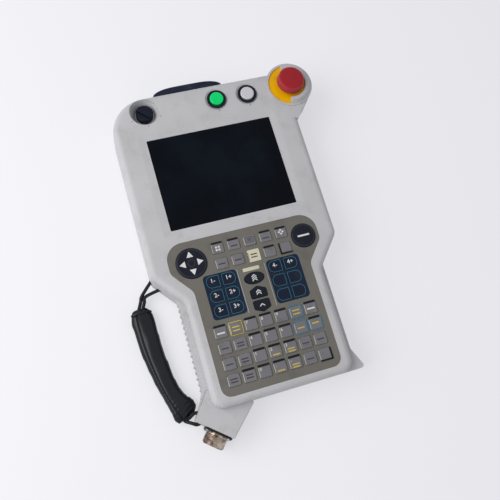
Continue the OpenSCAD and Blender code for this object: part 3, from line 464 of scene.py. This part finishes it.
# The one cream key with the label below it, and the signs on three keys of the upper row.
cream = finish("lit_key_cream", "d8d3b8", "ccc6aa", soil="8c8468", rough=0.4, bump=0.04, smear=0.2)
prints("servo_key_face", [lit_key], (12.9, 12.9), cream, 1.2, thick=BAR)
prints("servo_label", [(0, -45.2, SHEET_TOP)], (17.6, 3.7), cream, 0.6, thick=BAR)
prints("servo_key_rules", [(lit_key[0], lit_key[1] + d, TOP + 0.1) for d in (1.4, -1.6)], (7.0, 1.1), dim_ink)
prints("layout_squares", [(FN_COLS[0] + dx, FN_ROWS[0] - 0.6 + dy, TOP) for dx in (-1.5, 1.5)
                          for dy in (-1.5, 1.5)], (2.1, 2.1), white_ink, 0.5, thick=RULE)
menu = (FN_COLS[2], FN_ROWS[0] + 0.8, TOP)
prints("menu_outline", [menu], (8.6, 5.6), dim_ink, 1.5, line=0.5, thick=RULE)
prints("menu_lines", [(menu[0], menu[1] + d, TOP) for d in (-1.2, 0.0, 1.2)], (5.2, 0.5), dim_ink, 0.2,
       thick=RULE)
prints("area_diamond", [(FN_COLS[4] + dx, FN_ROWS[0] + 0.8 + dy, TOP)
                        for dx, dy in ((0, 2), (2, 0), (0, -2), (-2, 0))],
       (1.9, 1.9), white_ink, turn=pi / 4, thick=RULE)


def merged(shape):
    """Merges the doubles of a bmesh and turns its faces outwards."""
    bmesh.ops.remove_doubles(shape, verts=shape.verts, dist=1e-7)
    bmesh.ops.recalc_face_normals(shape, faces=shape.faces)


def figures(name, entries, ink, body="root", thick=PRINT):
    """Plain figures [text, x, y, z, size] in mm, as thin solid prints in one mesh."""
    joined = bmesh.new()
    for text, x, y, z, size in entries:
        curve = bpy.data.curves.new("figure", "FONT")
        curve.body = text
        curve.size = size * MM
        curve.align_x = curve.align_y = "CENTER"
        curve.extrude = thick * MM / 2
        curve.resolution_u = 3
        curve.offset = curve.size * 0.012
        writing = bpy.data.objects.new("figure", curve)
        collection.objects.link(writing)
        solid = evaluated(writing)
        solid.transform(Matrix.Translation(Vector((x, y, z + thick / 2)) * MM))
        joined.from_mesh(solid)
        bpy.data.objects.remove(writing)
        bpy.data.meshes.remove(solid)
    merged(joined)
    mesh = bpy.data.meshes.new(name)
    joined.to_mesh(mesh)
    joined.free()
    mesh.materials.append(ink)
    return settle(bpy.data.objects.new(name, mesh), body)


digits = {(2, 0): "7", (3, 0): "8", (4, 0): "9", (2, 1): "4", (3, 1): "5", (4, 1): "6",
          (2, 2): "1", (3, 2): "2", (4, 2): "3", (2, 3): "0", (3, 3): ".", (4, 3): "-"}
figures("key_digits", [(text, *key(c, r, -4.0, 2.6), 4.4) for (c, r), text in digits.items()], white_ink)


# ---- Axis keys ----
# Two blocks of six firm keys for jogging the arm's axes, moulded in dark navy plastic, each
# standing through the film in a printed navy field and ringed by a printed light blue line.
def outline_points(corners):
    """Corners (x, y, radius) in order, as points round the rounded shape."""
    points = []
    for i, (x, y, radius) in enumerate(corners):
        here = Vector((x, y))
        before = (Vector(corners[i - 1][:2]) - here).normalized()
        after = (Vector(corners[(i + 1) % len(corners)][:2]) - here).normalized()
        half = before.angle(after) / 2
        centre = here + (before + after).normalized() * radius / sin(half)
        start = here + before * radius / tan(half) - centre
        sweep = start.angle_signed(here + after * radius / tan(half) - centre)
        for k in range(7):
            turn = -sweep * k / 6
            points.append(centre + Vector((start.x * cos(turn) - start.y * sin(turn),
                                           start.x * sin(turn) + start.y * cos(turn))))
    return points


def middle(name):
    """The middle of a CAD node at rest, in mm."""
    low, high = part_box(name)
    return Vector([round(v, 3) for v in (low + high) / 2 / MM])


def axis_key_outline(name, left, grow):
    """The outline of an axis key, round on its left or right side, grown by grow (mm)."""
    low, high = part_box(name)
    x, y, _ = middle(name)
    w, h = ((high.x - low.x) / 2 / MM + grow, (high.y - low.y) / 2 / MM + grow)
    big, small = 6.0 + grow, 1.6 + grow
    a, b = (big, small) if left else (small, big)
    return outline_points([(x + w, y + h, b), (x + w, y - h, b), (x - w, y - h, a), (x - w, y + h, a)])


def flat_print(name, outer, holes, z, ink, body="root", thick=PRINT):
    """A thin print with holes, from outlines in mm."""
    curve = bpy.data.curves.new(name, "CURVE")
    curve.dimensions = "2D"
    curve.fill_mode = "BOTH"
    curve.extrude = thick * MM / 2
    for outline in [outer] + holes:
        line = curve.splines.new("POLY")
        line.points.add(len(outline) - 1)
        line.use_cyclic_u = True
        for point, place in zip(line.points, outline):
            point.co = (place[0] * MM, place[1] * MM, 0, 1)
    sketch = bpy.data.objects.new(name, curve)
    collection.objects.link(sketch)
    mesh = evaluated(sketch)
    bpy.data.objects.remove(sketch)
    mesh.transform(Matrix.Translation((0, 0, (z + thick / 2) * MM)))
    solid = bmesh.new()
    solid.from_mesh(mesh)
    merged(solid)
    solid.to_mesh(mesh)
    solid.free()
    mesh.materials.clear()
    mesh.materials.append(ink)
    mesh.name = name
    return settle(bpy.data.objects.new(name, mesh), body)


navy_key = finish("navy_key", "0f1a2e", "0b1424", soil="2c3444", rough=0.36, bump=0.08, smear=0.3)
ring_ink = finish("ring_blue", "37738f", "2f637d", soil="3f5c70", rough=0.45, bump=0.03, smear=0.3)
navy_ink = finish("navy_ink", "10233b", "0c1c31", soil="2d3b4d", rough=0.42, bump=0.05, smear=0.3)
AXIS_ROWS = (1, 2, 3)
FIELD_TOP, FIELD_FOOT, FIELD_CORNER = -41.2, -88.0, 4
for side, cols, x0, x1 in (("left", (1, 2), -51.2, -15.6), ("right", (3, 4), 16.6, 52.2)):
    holes = [axis_key_outline("axis_key_%d_%d" % (c, r), c % 2 == 1, 0.45) for c in cols for r in AXIS_ROWS]
    field = outline_points([(x1, FIELD_TOP, FIELD_CORNER), (x1, FIELD_FOOT, FIELD_CORNER),
                            (x0, FIELD_FOOT, FIELD_CORNER), (x0, FIELD_TOP, FIELD_CORNER)])
    flat_print("axis_field_" + side, field, holes, SHEET_TOP, navy_ink)
KEY_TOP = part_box("axis_key_1_1")[1].z / MM
for c in (1, 2, 3, 4):
    for r in AXIS_ROWS:
        place, node, body = "%d_%d" % (c, r), "axis_key_%d_%d" % (c, r), "axis_pad_%d_%d" % (c, r)
        dress(navy_key, "key_navy", node)
        flat_print("axis_ring_" + place, axis_key_outline(node, c % 2 == 1, -0.5),
                   [axis_key_outline(node, c % 2 == 1, -1.05)], KEY_TOP, ring_ink, body)
        if c < 3 or r == 1:
            text = "%d%s" % (r if c < 3 else 4, "-" if c % 2 else "+")
            x, y, _ = middle(node)
            figures("axis_figure_" + place, [(text, x, y + 1.2, KEY_TOP, 6.2)], white_ink, body)


# ---- Cursor, select and speed keys ----
# Larger round and shaped keys in near black plastic that stand through the same film: a cursor
# disc with four printed arrowheads, a select disc, and three speed keys marked with chevrons.
key_black = finish("key_black", "151926", "10131d", soil="303440", rough=0.34, bump=0.08, smear=0.3)
dress(key_black, "key_black", "cursor_key", "select_key", "high_speed_key", "fast_key", "slow_key")
CURSOR = middle("cursor_key")
SELECT = middle("select_key")


def shifted(points, centre, turn=0.0):
    """Points turned about the origin and moved to centre."""
    return [(centre[0] + x * cos(turn) - y * sin(turn), centre[1] + x * sin(turn) + y * cos(turn))
            for x, y in points]


def circle(centre, radius, count=48):
    """Points round a circle."""
    return [(centre[0] + radius * cos(2 * pi * k / count), centre[1] + radius * sin(2 * pi * k / count))
            for k in range(count)]


arrow = [(0, 12.6), (3.5, 6.4), (-3.5, 6.4)]
for k, side in enumerate(("up", "left", "down", "right")):
    flat_print("cursor_arrow_" + side, shifted(arrow, CURSOR, k * pi / 2), [], KEY_TOP, white_ink,
               "cursor_pad")
for name, centre, outer, inner_r, count, body in (("cursor_ring", CURSOR, 14.6, 14.2, 48, "cursor_pad"),
                                                  ("cursor_hub", CURSOR, 3.9, 3.4, 32, "cursor_pad"),
                                                  ("select_ring", SELECT, 11.7, 11.3, 48, "select_pad")):
    flat_print(name, circle(centre, outer, count), [circle(centre, inner_r, count)], KEY_TOP, dim_ink, body)
prints("select_rule", [(SELECT.x, SELECT.y, KEY_TOP)], (13.0, 1.9), white_ink, 0.5, body="select_pad",
       slot="key_black")
chevron = [(-2.6, -1.5), (0, 0.6), (2.6, -1.5), (2.6, -0.3), (0, 1.8), (-2.6, -0.3)]
for name, steps in (("high_speed", (2.1, 0.0, -2.1)), ("fast", (0.625, -1.675)), ("slow", (0.375,))):
    x, y, _ = middle(name + "_key")
    for k, step in enumerate(steps):
        flat_print("%s_chevron_%d" % (name, k + 1), shifted(chevron, (x, y + step)), [], KEY_TOP, white_ink,
                   name + "_pad")
# Light lines along the film's ridges between the key blocks: painted highlight on the ridges' crests.
prints("block_ridge_highlights", [(x, -66, SHEET_TOP + 0.4) for x in (-14.8, 14.8)], (0.7, 46.6), painted_edge_ink, 0.2)


# ---- Stop button ----
# A red mushroom that latches when pressed and springs back when turned; it stands in a grey
# half-round guard over a yellow disc, and its top is scuffed by years of slaps.
def radial_mask(tree, centre, low, high, amount):
    """A mask over distance from an upright axis through centre (mm)."""
    where = add(tree, "ShaderNodeTexCoord").outputs["Object"]
    centred = add(tree, "ShaderNodeMapping", {"Vector": where,
                                              "Location": (-centre[0] * MM, -centre[1] * MM, 0.0)})
    flat = add(tree, "ShaderNodeVectorMath", {0: centred.outputs[0], 1: (1.0, 1.0, 0.0)},
               operation="MULTIPLY")
    far = add(tree, "ShaderNodeVectorMath", {0: flat.outputs[0]}, operation="LENGTH")
    return mask(tree, far.outputs["Value"], low * MM, high * MM, amount)


def overlay(material, colour, share):
    """Lays one more colour over a finish, by a mask made in its own tree."""
    tree = material.node_tree
    paint = tree.nodes["Principled BSDF"]
    below = paint.inputs["Base Color"].links[0].from_socket
    tree.links.new(layered(tree, below, colour, share(tree)), paint.inputs["Base Color"])


STOP = middle("stop_head")
stop_red = finish("stop_red", "a4242e", "981f2a", soil="6f2028", rough=0.38, bump=0.06, smear=0.45,
                  scratches=0.8, specks=0.3)
overlay(stop_red, "b8464c", lambda tree: radial_mask(tree, STOP, 12.2, 14.4, 0.55))
dress(stop_red, "stop_red", "stop_head")
dress(finish("stop_yellow", "fcc000", "f2b200", soil="a87f1c", rough=0.42, bump=0.05, smear=0.3),
      "stop_yellow",
      "stop_label")
dark = finish("dark_plastic", "0c1220", "121a2b", soil="272c39", rough=0.38, bump=0.08, smear=0.3)
dress(dark, "dark_plastic", "stop_stem")
dress(inner, "inner_plastic", "stop_switch")


# ---- Start and hold buttons, mode knob ----
# Two push buttons with clear ribbed lenses in black screw rings, and a rotary mode knob that
# turns in a moulded dish; a small printed tick points to each of them.
dress(dark, "dark_plastic", "start_bezel", "hold_bezel", "mode_knob")
dress(inner, "inner_plastic", "mode_switch")
dress(finish("lens_green", "00e478", "00d870", soil="04a45a", rough=0.22, bump=0.03, smear=0.2), "lens_green",
      "start_button")
dress(finish("lens_white", "d4d4d9", "cacace", soil="a8a8aa", rough=0.22, bump=0.03, smear=0.2), "lens_white",
      "hold_button")
FRONT = SHEET_TOP + 0.2     # the front face, from which the film lies back
prints("button_ticks", [(x, y - 13.6, FRONT) for x, y, _ in (middle("start_button"), middle("hold_button"))],
       (0.5, 2.4), dim_ink, 0.1, slot="housing")
MODE = middle("mode_knob")
TICK_R = 18.2
for k, turn in enumerate((-150, -90, -30)):
    angle = radians(turn)
    prints("mode_tick_%d" % (k + 1), [(MODE.x + TICK_R * cos(angle), MODE.y + TICK_R * sin(angle), FRONT)],
           (1.9, 0.45), dim_ink, 0.1, turn=angle, slot="housing")


# ---- Rating label ----
# A blank foil label laid in its shallow field in the middle of the back.
foil = finish("label_foil", "a9aaad", "9d9ea2", soil="6c6a64", rough=0.38, bump=0.03, smear=0.4,
              scratches=0.7, Metallic=0.6)
prints("rating_label", [(0, 62, 0.22)], (90.0, 60.0), foil, 2.5, slot="housing", thick=0.3)


# ---- Card slot ----
# A memory card goes into a socket in the top edge; a bowed navy plastic cover hinges down over
# it on a steel pin, and a small button beside the card pushes it out.
navy_cover = finish("cover_navy", "12182a", "1b2335", soil="3a4252", rough=0.34, bump=0.08, patches=120.0,
                    smear=0.4, mottle=0.8)
dress(navy_cover, "dark_plastic", "card_cover")
dress(steel, "screw_steel", "card_cover_pin")
dress(inner, "inner_plastic", "card_socket")
dress(dark, "dark_plastic", "card_eject_button")


# ---- Enabling lever ----
# A long black lever in the back of the grip, squeezed by the fingers against a three-position
# switch; it turns on a steel pin and its outer face is ribbed for hold.
def skin(name, rings, material, closed=False):
    """A closed mesh over rings of equally many points: its two ends capped, or its last ring joined to its
    first where closed is set.
    """
    mesh = bmesh.new()
    rows = [[mesh.verts.new(p) for p in ring] for ring in rings]
    count = len(rings[0])
    for one, two in zip(rows, rows[1:] + ([rows[0]] if closed else [])):
        for k in range(count):
            mesh.faces.new((one[k], one[(k + 1) % count], two[(k + 1) % count], two[k]))
    if not closed:
        mesh.faces.new(rows[0][::-1])
        mesh.faces.new(rows[-1])
    bmesh.ops.recalc_face_normals(mesh, faces=mesh.faces)
    data = bpy.data.meshes.new(name)
    mesh.to_mesh(data)
    mesh.free()
    data.materials.append(material)
    data.polygons.foreach_set("use_smooth", [True] * len(data.polygons))
    return bpy.data.objects.new(name, data)


dress(dark, "dark_plastic", "enable_lever")
dress(steel, "screw_steel", "enable_pin")
dress(inner, "inner_plastic", "enable_switch")
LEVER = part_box("enable_lever")[0] / MM      # its lower, outer corner at rest
RIDGES, RIDGE_PITCH, RIDGE_HALF = 9, 8.0, 1.2
# Along a ridge: place across the lever, height of its face there, and share of full size.
COURSE = ((5.0, 4.3, 0.3), (6.5, 4.3, 1.0), (18.5, 5.25, 1.0), (20.0, 5.4, 0.3))
for k in range(RIDGES):
    crest_y = LEVER.y + 4 + RIDGE_PITCH * k
    ridge = []
    for x, z, size in COURSE:
        ridge.append([Vector((LEVER.x + x, crest_y + RIDGE_HALF * size * cos(pi * j / 5),
                              z + 0.15 - 0.65 * size * sin(pi * j / 5))) * MM for j in range(11)])
    settle(skin("lever_ridge_%d" % (k + 1), ridge, dark), "enable_paddle")


# ---- Cable connector ----
# A round threaded connector of nickel-plated brass behind a square black flange; four screws hold
# it to the connector box at the pendant's lower left corner. Its plating is worn through; its heavy
# mottle and dark brown blotches are partly that wear and partly painted dark reflection and shade.
def blotches(tree, scale, low, high, amount):
    """A mask of blotches about 1 / scale m wide."""
    where = add(tree, "ShaderNodeTexCoord").outputs["Object"]
    noisy = add(tree, "ShaderNodeTexNoise", {"Vector": where, "Scale": scale, "Detail": 4.0,
                                             "Roughness": 0.6})
    return mask(tree, noisy.outputs[0], low, high, amount)


# Heavy mottle between light and dark nickel: partly worn plating, partly painted reflection on the shiny
# shell.
nickel = finish("nickel_worn_and_painted_dark", "b9ab9b", "8f7e6f", soil="54463b", rough=0.27, fineness=700.0, bump=0.05,
                Metallic=1.0, smear=0.6, patches=140.0, mottle=0.8)
# Dark brown blotches: partly worn plating, partly painted dark reflection and shade on the shiny metal.
overlay(nickel, "453730", lambda tree: blotches(tree, 75.0, 0.47, 0.58, 0.85))
dress(nickel, "nickel", "cable_receptacle")
dress(finish("flange_black", "1b1a1b", "232223", soil="47433c", rough=0.45, bump=0.06), "flange_metal",
      "connector_flange")
dress(finish("insert_black", "121317", "191a1f", soil="2a2c32", rough=0.45, bump=0.06), "dark_plastic",
      "receptacle_insert")
UP = Vector((0, 0, 1))
AXIS = Vector((-sin(radians(40)), -cos(radians(40)), 0))    # the way the connector points
ACROSS = UP.cross(AXIS)
PLUG = middle("connector_flange") - AXIS * 0.7              # on that line, just inside the flange
low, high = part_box("cable_receptacle")
PLUG_R = (high.z - low.z) / 2 / MM
PITCH, CREST = 1.25, 0.42
THREAD_FROM, THREAD_TO, STEPS = 4.2, 10.5, 30
thread_rings = []
for k in range(64):
    angle = 2 * pi * k / 64
    outward = ACROSS * cos(angle) + UP * sin(angle)
    ring = []
    for j in range(STEPS + 1):
        along = THREAD_FROM + j * (THREAD_TO - THREAD_FROM) / STEPS
        wave = (along / PITCH - k / 64) % 1.0
        crest = CREST * (1 - abs(2 * wave - 1)) * min(1.0, j / 4, (STEPS - j) / 4)
        ring.append((PLUG + AXIS * along + outward * (PLUG_R + 0.02 + crest)) * MM)
    ring += [(PLUG + AXIS * along + outward * (PLUG_R - 0.6)) * MM for along in (THREAD_TO, THREAD_FROM)]
    thread_rings.append(ring)
settle(skin("receptacle_thread", thread_rings, nickel, closed=True), "root")


# ---- Hand strap ----
# A padded sleeve of black glossy vinyl, sewn shut along its outer side with a flat welt, carried
# on a doubled cord: the cord closes round a post in the shoulder and round a lug at the
# connector box, so the sleeve swings up as the hand slips under it.
vinyl = finish("strap_vinyl", "05070e", "0a0d17", soil="191d29", rough=0.2, sheen_spread=0.15,
               fineness=1100.0,
               bump=0.12, patches=45.0, smear=0.35, scratches=0.5, specks=0.15, Specular_IOR_Level=0.3)


def spline(points, count):
    """Count points of one smooth curve through the given ones."""
    found = []
    for step in range(count):
        t = step * (len(points) - 1) / (count - 1)
        i = min(int(t), len(points) - 2)
        u = t - i
        a, b, c, d = (Vector(points[max(0, min(len(points) - 1, i + k))]) for k in (-1, 0, 1, 2))
        found.append(0.5 * (2 * b + (c - a) * u + (2 * a - 5 * b + 4 * c - d) * u * u
                            + (3 * b - a - 3 * c + d) * u ** 3))
    return found


INNER = [(-105.0, -48.6), (-103.6, -66.0), (-102.4, -86.0), (-100.4, -108.0), (-97.6, -128.0),
         (-93.2, -143.0), (-87.2, -152.5), (-84.6, -160.5), (-88.4, -168.0)]
OUTER = [(-131.8, -49.4), (-131.2, -66.0), (-130.2, -88.0), (-127.6, -108.0), (-124.0, -128.0),
         (-119.8, -145.0), (-115.8, -160.0), (-114.2, -169.0), (-112.0, -176.0)]
STATIONS = 33
SLEEVE_Z = middle("hand_sleeve").z
SLEEVE_HALF = SLEEVE_Z - 0.4    # half the sleeve's thickness, less room for its wrap
NARROWING = (0.66, 0.86, 0.95, 0.99)
THINNING = (0.62, 0.80, 0.91, 0.97)
inner_line = spline(INNER, STATIONS)
outer_line = spline(OUTER, STATIONS)


def station(t):
    """Middle, outward direction and half width of the sleeve at station t (mm)."""
    i = min(int(t), STATIONS - 2)
    a = inner_line[i].lerp(inner_line[i + 1], t - i)
    b = outer_line[i].lerp(outer_line[i + 1], t - i)
    return (a + b) / 2, (b - a).normalized(), (b - a).length / 2


def sleeve_ring(i, slack):
    """Cross-section of the padding at station i, drawn in by slack (mm)."""
    centre, across, half = station(i)
    end = min(i, STATIONS - 1 - i)
    narrow = NARROWING[end] if end < 4 else 1.0
    flat = THINNING[end] if end < 4 else 1.0
    ring = []
    for k in range(32):
        c, s = cos(2 * pi * k / 32), sin(2 * pi * k / 32)
        wide = (half * narrow - slack) * abs(c) ** 0.86 * (1 if c > 0 else -1)
        high = (SLEEVE_HALF * flat - slack) * abs(s) ** 0.86 * (1 if s > 0 else -1)
        ring.append(Vector((*(centre + across * wide), SLEEVE_Z + high)) * MM)
    return ring


BLOW_FRAMES = 20


def puffed(made, voxel, pressure, cap):
    """Remeshes a closed cloth shell and blows it up a little, as its filling does, the swelling capped at
    cap.
    """
    remesh = made.modifiers.new("remesh", "REMESH")
    remesh.mode = "VOXEL"
    remesh.voxel_size = voxel
    mesh = evaluated(made)
    made.modifiers.clear()
    made.data = mesh
    rest = [v.co.copy() for v in mesh.vertices]
    cloth = made.modifiers.new("cloth", "CLOTH")
    cloth.settings.use_pressure = True
    cloth.settings.uniform_pressure_force = pressure
    cloth.settings.effector_weights.gravity = 0
    cloth.settings.quality = 6
    cloth.point_cache.frame_start = 1
    cloth.point_cache.frame_end = BLOW_FRAMES
    for frame_number in range(1, BLOW_FRAMES + 1):
        scene.frame_set(frame_number)
    blown = bpy.data.meshes.new_from_object(made.evaluated_get(bpy.context.evaluated_depsgraph_get()))
    made.modifiers.clear()
    scene.frame_set(1)
    made.data = blown
    for vertex, before in zip(blown.vertices, rest):
        swell = vertex.co - before
        if swell.length > cap:
            vertex.co = before + swell * (cap / swell.length)


shell = skin("sleeve_padding", [sleeve_ring(i, 0.9) for i in range(STATIONS)], vinyl)
collection.objects.link(shell)
puffed(shell, voxel=2.6 * MM, pressure=4.0, cap=1.6 * MM)
shell.data.materials.clear()
shell.data.materials.append(vinyl)
soften = shell.modifiers.new("soften", "SMOOTH")
soften.factor, soften.iterations = 0.5, 6
finer = shell.modifiers.new("finer", "SUBSURF")
finer.levels = finer.render_levels = 1
padding = evaluated(shell)
shell.modifiers.clear()
shell.data = padding
# Creases gather where the sleeve is drawn in at its top and where it bends at the foot.
for vertex in padding.vertices:
    place = vertex.co / MM
    top = max(0.0, 1 - abs(place.y + 49.0) / 13.0)
    foot = max(0.0, 1 - (Vector((place.x, place.y)) - Vector((-97.0, -158.0))).length / 20.0)
    folds = 0.6 * sin(place.x * 0.9 + 0.2 * place.y) * top + sin(place.y * 1.15 - place.x * 0.75) * foot
    ripple = noise.noise(Vector(place) * 0.09) * 0.35
    vertex.co += vertex.normal * (0.45 * folds * (place.z > 2.0) + ripple * 0.6) * MM
    vertex.co.z = min(max(vertex.co.z, 0.00015), 0.0134)
padding.polygons.foreach_set("use_smooth", [True] * len(padding.polygons))
shell.name = padding.name = "sleeve_padding"
settle(shell, "hand_strap")
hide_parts("hand_sleeve")

surface = BVHTree.FromPolygons([v.co.copy() for v in padding.vertices],
                               [tuple(f.vertices) for f in padding.polygons])


def on_sleeve(t, angle, lift):
    """The point lift mm outside the padding at station t, in the direction angle from its middle."""
    centre, across, half = station(t)
    ray = Vector((*(across * half * cos(angle)), SLEEVE_HALF * sin(angle))).normalized()
    hit, normal, _, _ = surface.ray_cast(Vector((*centre, SLEEVE_Z)) * MM + ray * 60 * MM, -ray)
    found = hit + normal * lift * MM
    found.z = max(found.z, 0.2 * MM)
    return found


# The outer edge is wrapped in a second layer, sewn down along the middle of the top; a rolled hem
# closes each end.
wrapped = []
for step in range(2 * (STATIONS - 5) + 1):
    turns = [radians(66 - 142 * k / 11) for k in range(12)]
    wrapped.append([on_sleeve(2 + step / 2, turn, 0.75) for turn in turns]
                   + [on_sleeve(2 + step / 2, turn, -0.3) for turn in turns[::-1]])
settle(skin("sleeve_wrap", wrapped, vinyl), "hand_strap")
for name, at in (("sleeve_hem_top", 1.7), ("sleeve_hem_bottom", STATIONS - 2.7)):
    rolled = [[on_sleeve(at + 0.3 * cos(pi * j / 4), 2 * pi * k / 40, 0.4 + 0.85 * sin(pi * j / 4))
               for j in range(8)] for k in range(40)]
    settle(skin(name, rolled, vinyl, closed=True), "hand_strap")


def stitches_tree():
    """Geometry nodes: short thread stitches evenly along a line of points."""
    tree, take, give = new_tree(
        "stitch_row", "GeometryNodeTree",
        [("Geometry", GEOMETRY, None), ("Pitch", FLOAT, 0.003), ("Length", FLOAT, 0.002),
         ("Thread", FLOAT, 0.0003), ("Finish", "NodeSocketMaterial", None)],
        [("Geometry", GEOMETRY)])
    line = add(tree, "GeometryNodeMeshToCurve", {"Mesh": take["Geometry"]})
    spots = add(tree, "GeometryNodeResampleCurve", {"Curve": line.outputs[0], "Length": take["Pitch"]},
                mode="LENGTH")
    heading = add(tree, "GeometryNodeInputTangent")
    turned = add(tree, "FunctionNodeAlignRotationToVector", {"Vector": heading.outputs[0]}, axis="X")
    half = add(tree, "ShaderNodeMath", {0: take["Length"], 1: 0.5}, operation="MULTIPLY")
    stitch = add(tree, "GeometryNodeMeshUVSphere", {"Segments": 8, "Rings": 6, "Radius": 1.0})
    squeeze = add(tree, "ShaderNodeCombineXYZ", {"X": half.outputs[0], "Y": take["Thread"],
                                                 "Z": take["Thread"]})
    laid = add(tree, "GeometryNodeInstanceOnPoints", {"Points": spots.outputs[0],
                                                      "Instance": stitch.outputs[0],
                                                      "Rotation": turned.outputs[0],
                                                      "Scale": squeeze.outputs[0]})
    finished(tree, laid, take["Finish"], give[0])
    return tree


thread = finish("strap_thread", "1c1d22", "26272c", soil="3a3b40", rough=0.6, fineness=3000.0, bump=0.2,
                Specular_IOR_Level=0.2)
row = [on_sleeve(3 + step / 2, radians(58), 0.85) / MM for step in range(2 * (STATIONS - 7) + 1)]
repeated("welt_stitches", stitches_tree(), row, "hand_strap", "strap_cord",
         edges=[(k, k + 1) for k in range(len(row) - 1)], Pitch=3.4 * MM, Length=2.6 * MM,
         Thread=0.34 * MM, Finish=thread)

# Braided cord: a fine plait read along and round the cord from its own map.
cord_finish = bpy.data.materials.new("strap_cord")
cord_finish.use_nodes = True
tree = cord_finish.node_tree
paint = tree.nodes["Principled BSDF"]
paint.inputs["Specular IOR Level"].default_value = 0.25
uv = add(tree, "ShaderNodeTexCoord").outputs["UV"]
strands = []
for lean in (1.0, -1.0):
    turned = add(tree, "ShaderNodeMapping", {"Vector": uv, "Rotation": (0.0, 0.0, lean * pi / 4)})
    strands.append(add(tree, "ShaderNodeTexWave", {"Vector": turned.outputs[0], "Scale": 9.0,
                                                   "Distortion": 0.0},
                       wave_type="BANDS", bands_direction="X").outputs["Fac"])
plait = add(tree, "ShaderNodeMath", {0: strands[0], 1: strands[1]}, operation="MAXIMUM").outputs[0]
tree.links.new(layered(tree, "08090b", "1d1f24", plait), paint.inputs["Base Color"])
rough = add(tree, "ShaderNodeMapRange", {"Value": plait, "To Min": 0.75, "To Max": 0.5})
tree.links.new(rough.outputs["Result"], paint.inputs["Roughness"])
tree.links.new(add(tree, "ShaderNodeBump", {"Height": plait, "Strength": 0.5, "Distance": 0.0003}).outputs[0],
               paint.inputs["Normal"])


def braided(name, points, radius, material):
    """A round cord through points (mm), capped, with a map along and round it for its plait."""
    path = spline([Vector(p) for p in points], 6 * len(points))
    rings, run, runs = [], 0.0, []
    side = UP
    for i, p in enumerate(path):
        ahead = (path[min(i + 1, len(path) - 1)] - path[max(i - 1, 0)]).normalized()
        side = (side - ahead * side.dot(ahead)).normalized()
        up = ahead.cross(side)
        rings.append([(p + (side * cos(2 * pi * k / 12) + up * sin(2 * pi * k / 12)) * radius) * MM
                      for k in range(12)])
        run += (p - path[i - 1]).length if i else 0.0
        runs.append(run)
    made = skin(name, rings, material)
    layer = made.data.uv_layers.new(name="UVMap")
    for face in made.data.polygons:
        corners = list(face.vertices)
        wraps = len(corners) == 4 and {c % 12 for c in corners} >= {0, 11}
        for loop, v in zip(face.loop_indices, corners):
            turn = v % 12
            if wraps and turn == 0:
                turn = 12
            layer.data[loop].uv = (runs[min(v // 12, len(runs) - 1)] / 2.2, turn / 12 * 4)
    return made


CORD_R = 1.8


def loop_points(end, heading, post, radius, height, run):
    """Two strands side by side for a run from the sleeve's end, then closing round a post."""
    end, heading, post = Vector(end), Vector(heading).normalized(), Vector(post)
    side = Vector((heading.y, -heading.x)) * (CORD_R + 0.12)
    far = (end + heading * run) - post
    start = atan2(far.y, far.x) + acos(radius / far.length)
    sweep = 2 * pi - 2 * acos(radius / far.length)
    rise = (height - SLEEVE_Z) * 0.4
    first = [(*(end + heading * run * u + side), SLEEVE_Z + rise * max(u, 0) ** 2)
             for u in (-0.5, 0.1, 0.5, 0.9)]
    last = [(*(end + heading * run * u - side), SLEEVE_Z + rise * max(u, 0) ** 2)
            for u in (0.9, 0.5, 0.1, -0.5)]
    arc = []
    for k in range(13):
        angle = start + sweep * k / 12
        arc.append((post.x + radius * cos(angle), post.y + radius * sin(angle), height))
    return first + arc + last


low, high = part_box("strap_loop_top")
cord_z = high.z / MM - CORD_R
top_post = (high.x / MM - 8.4, high.y / MM - 8.4)
top_loop = braided("strap_cord_top", loop_points((-116.5, -49.5), (0.45, 0.89), top_post, 6.6, cord_z, 14),
                   CORD_R, cord_finish)
low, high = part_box("strap_loop_bottom")
low_post = (high.x / MM - 7.5, low.y / MM + 7.5)
low_loop = braided("strap_cord_bottom", loop_points((-101.5, -169.0), (14.5, -22.0), low_post, 5.7, cord_z,
                                                    4),
                   CORD_R, cord_finish)
for cord, node_name, start, end in (
        (top_loop, "strap_loop_top", (-0.099, -0.036, 0.016), (-0.1165, -0.0495, 0.0065)),
        (low_loop, "strap_loop_bottom", (-0.0925, -0.172, 0.016), (-0.1015, -0.169, 0.0065))):
    collection.objects.link(cord)
    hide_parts(node_name)
    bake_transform(cord)
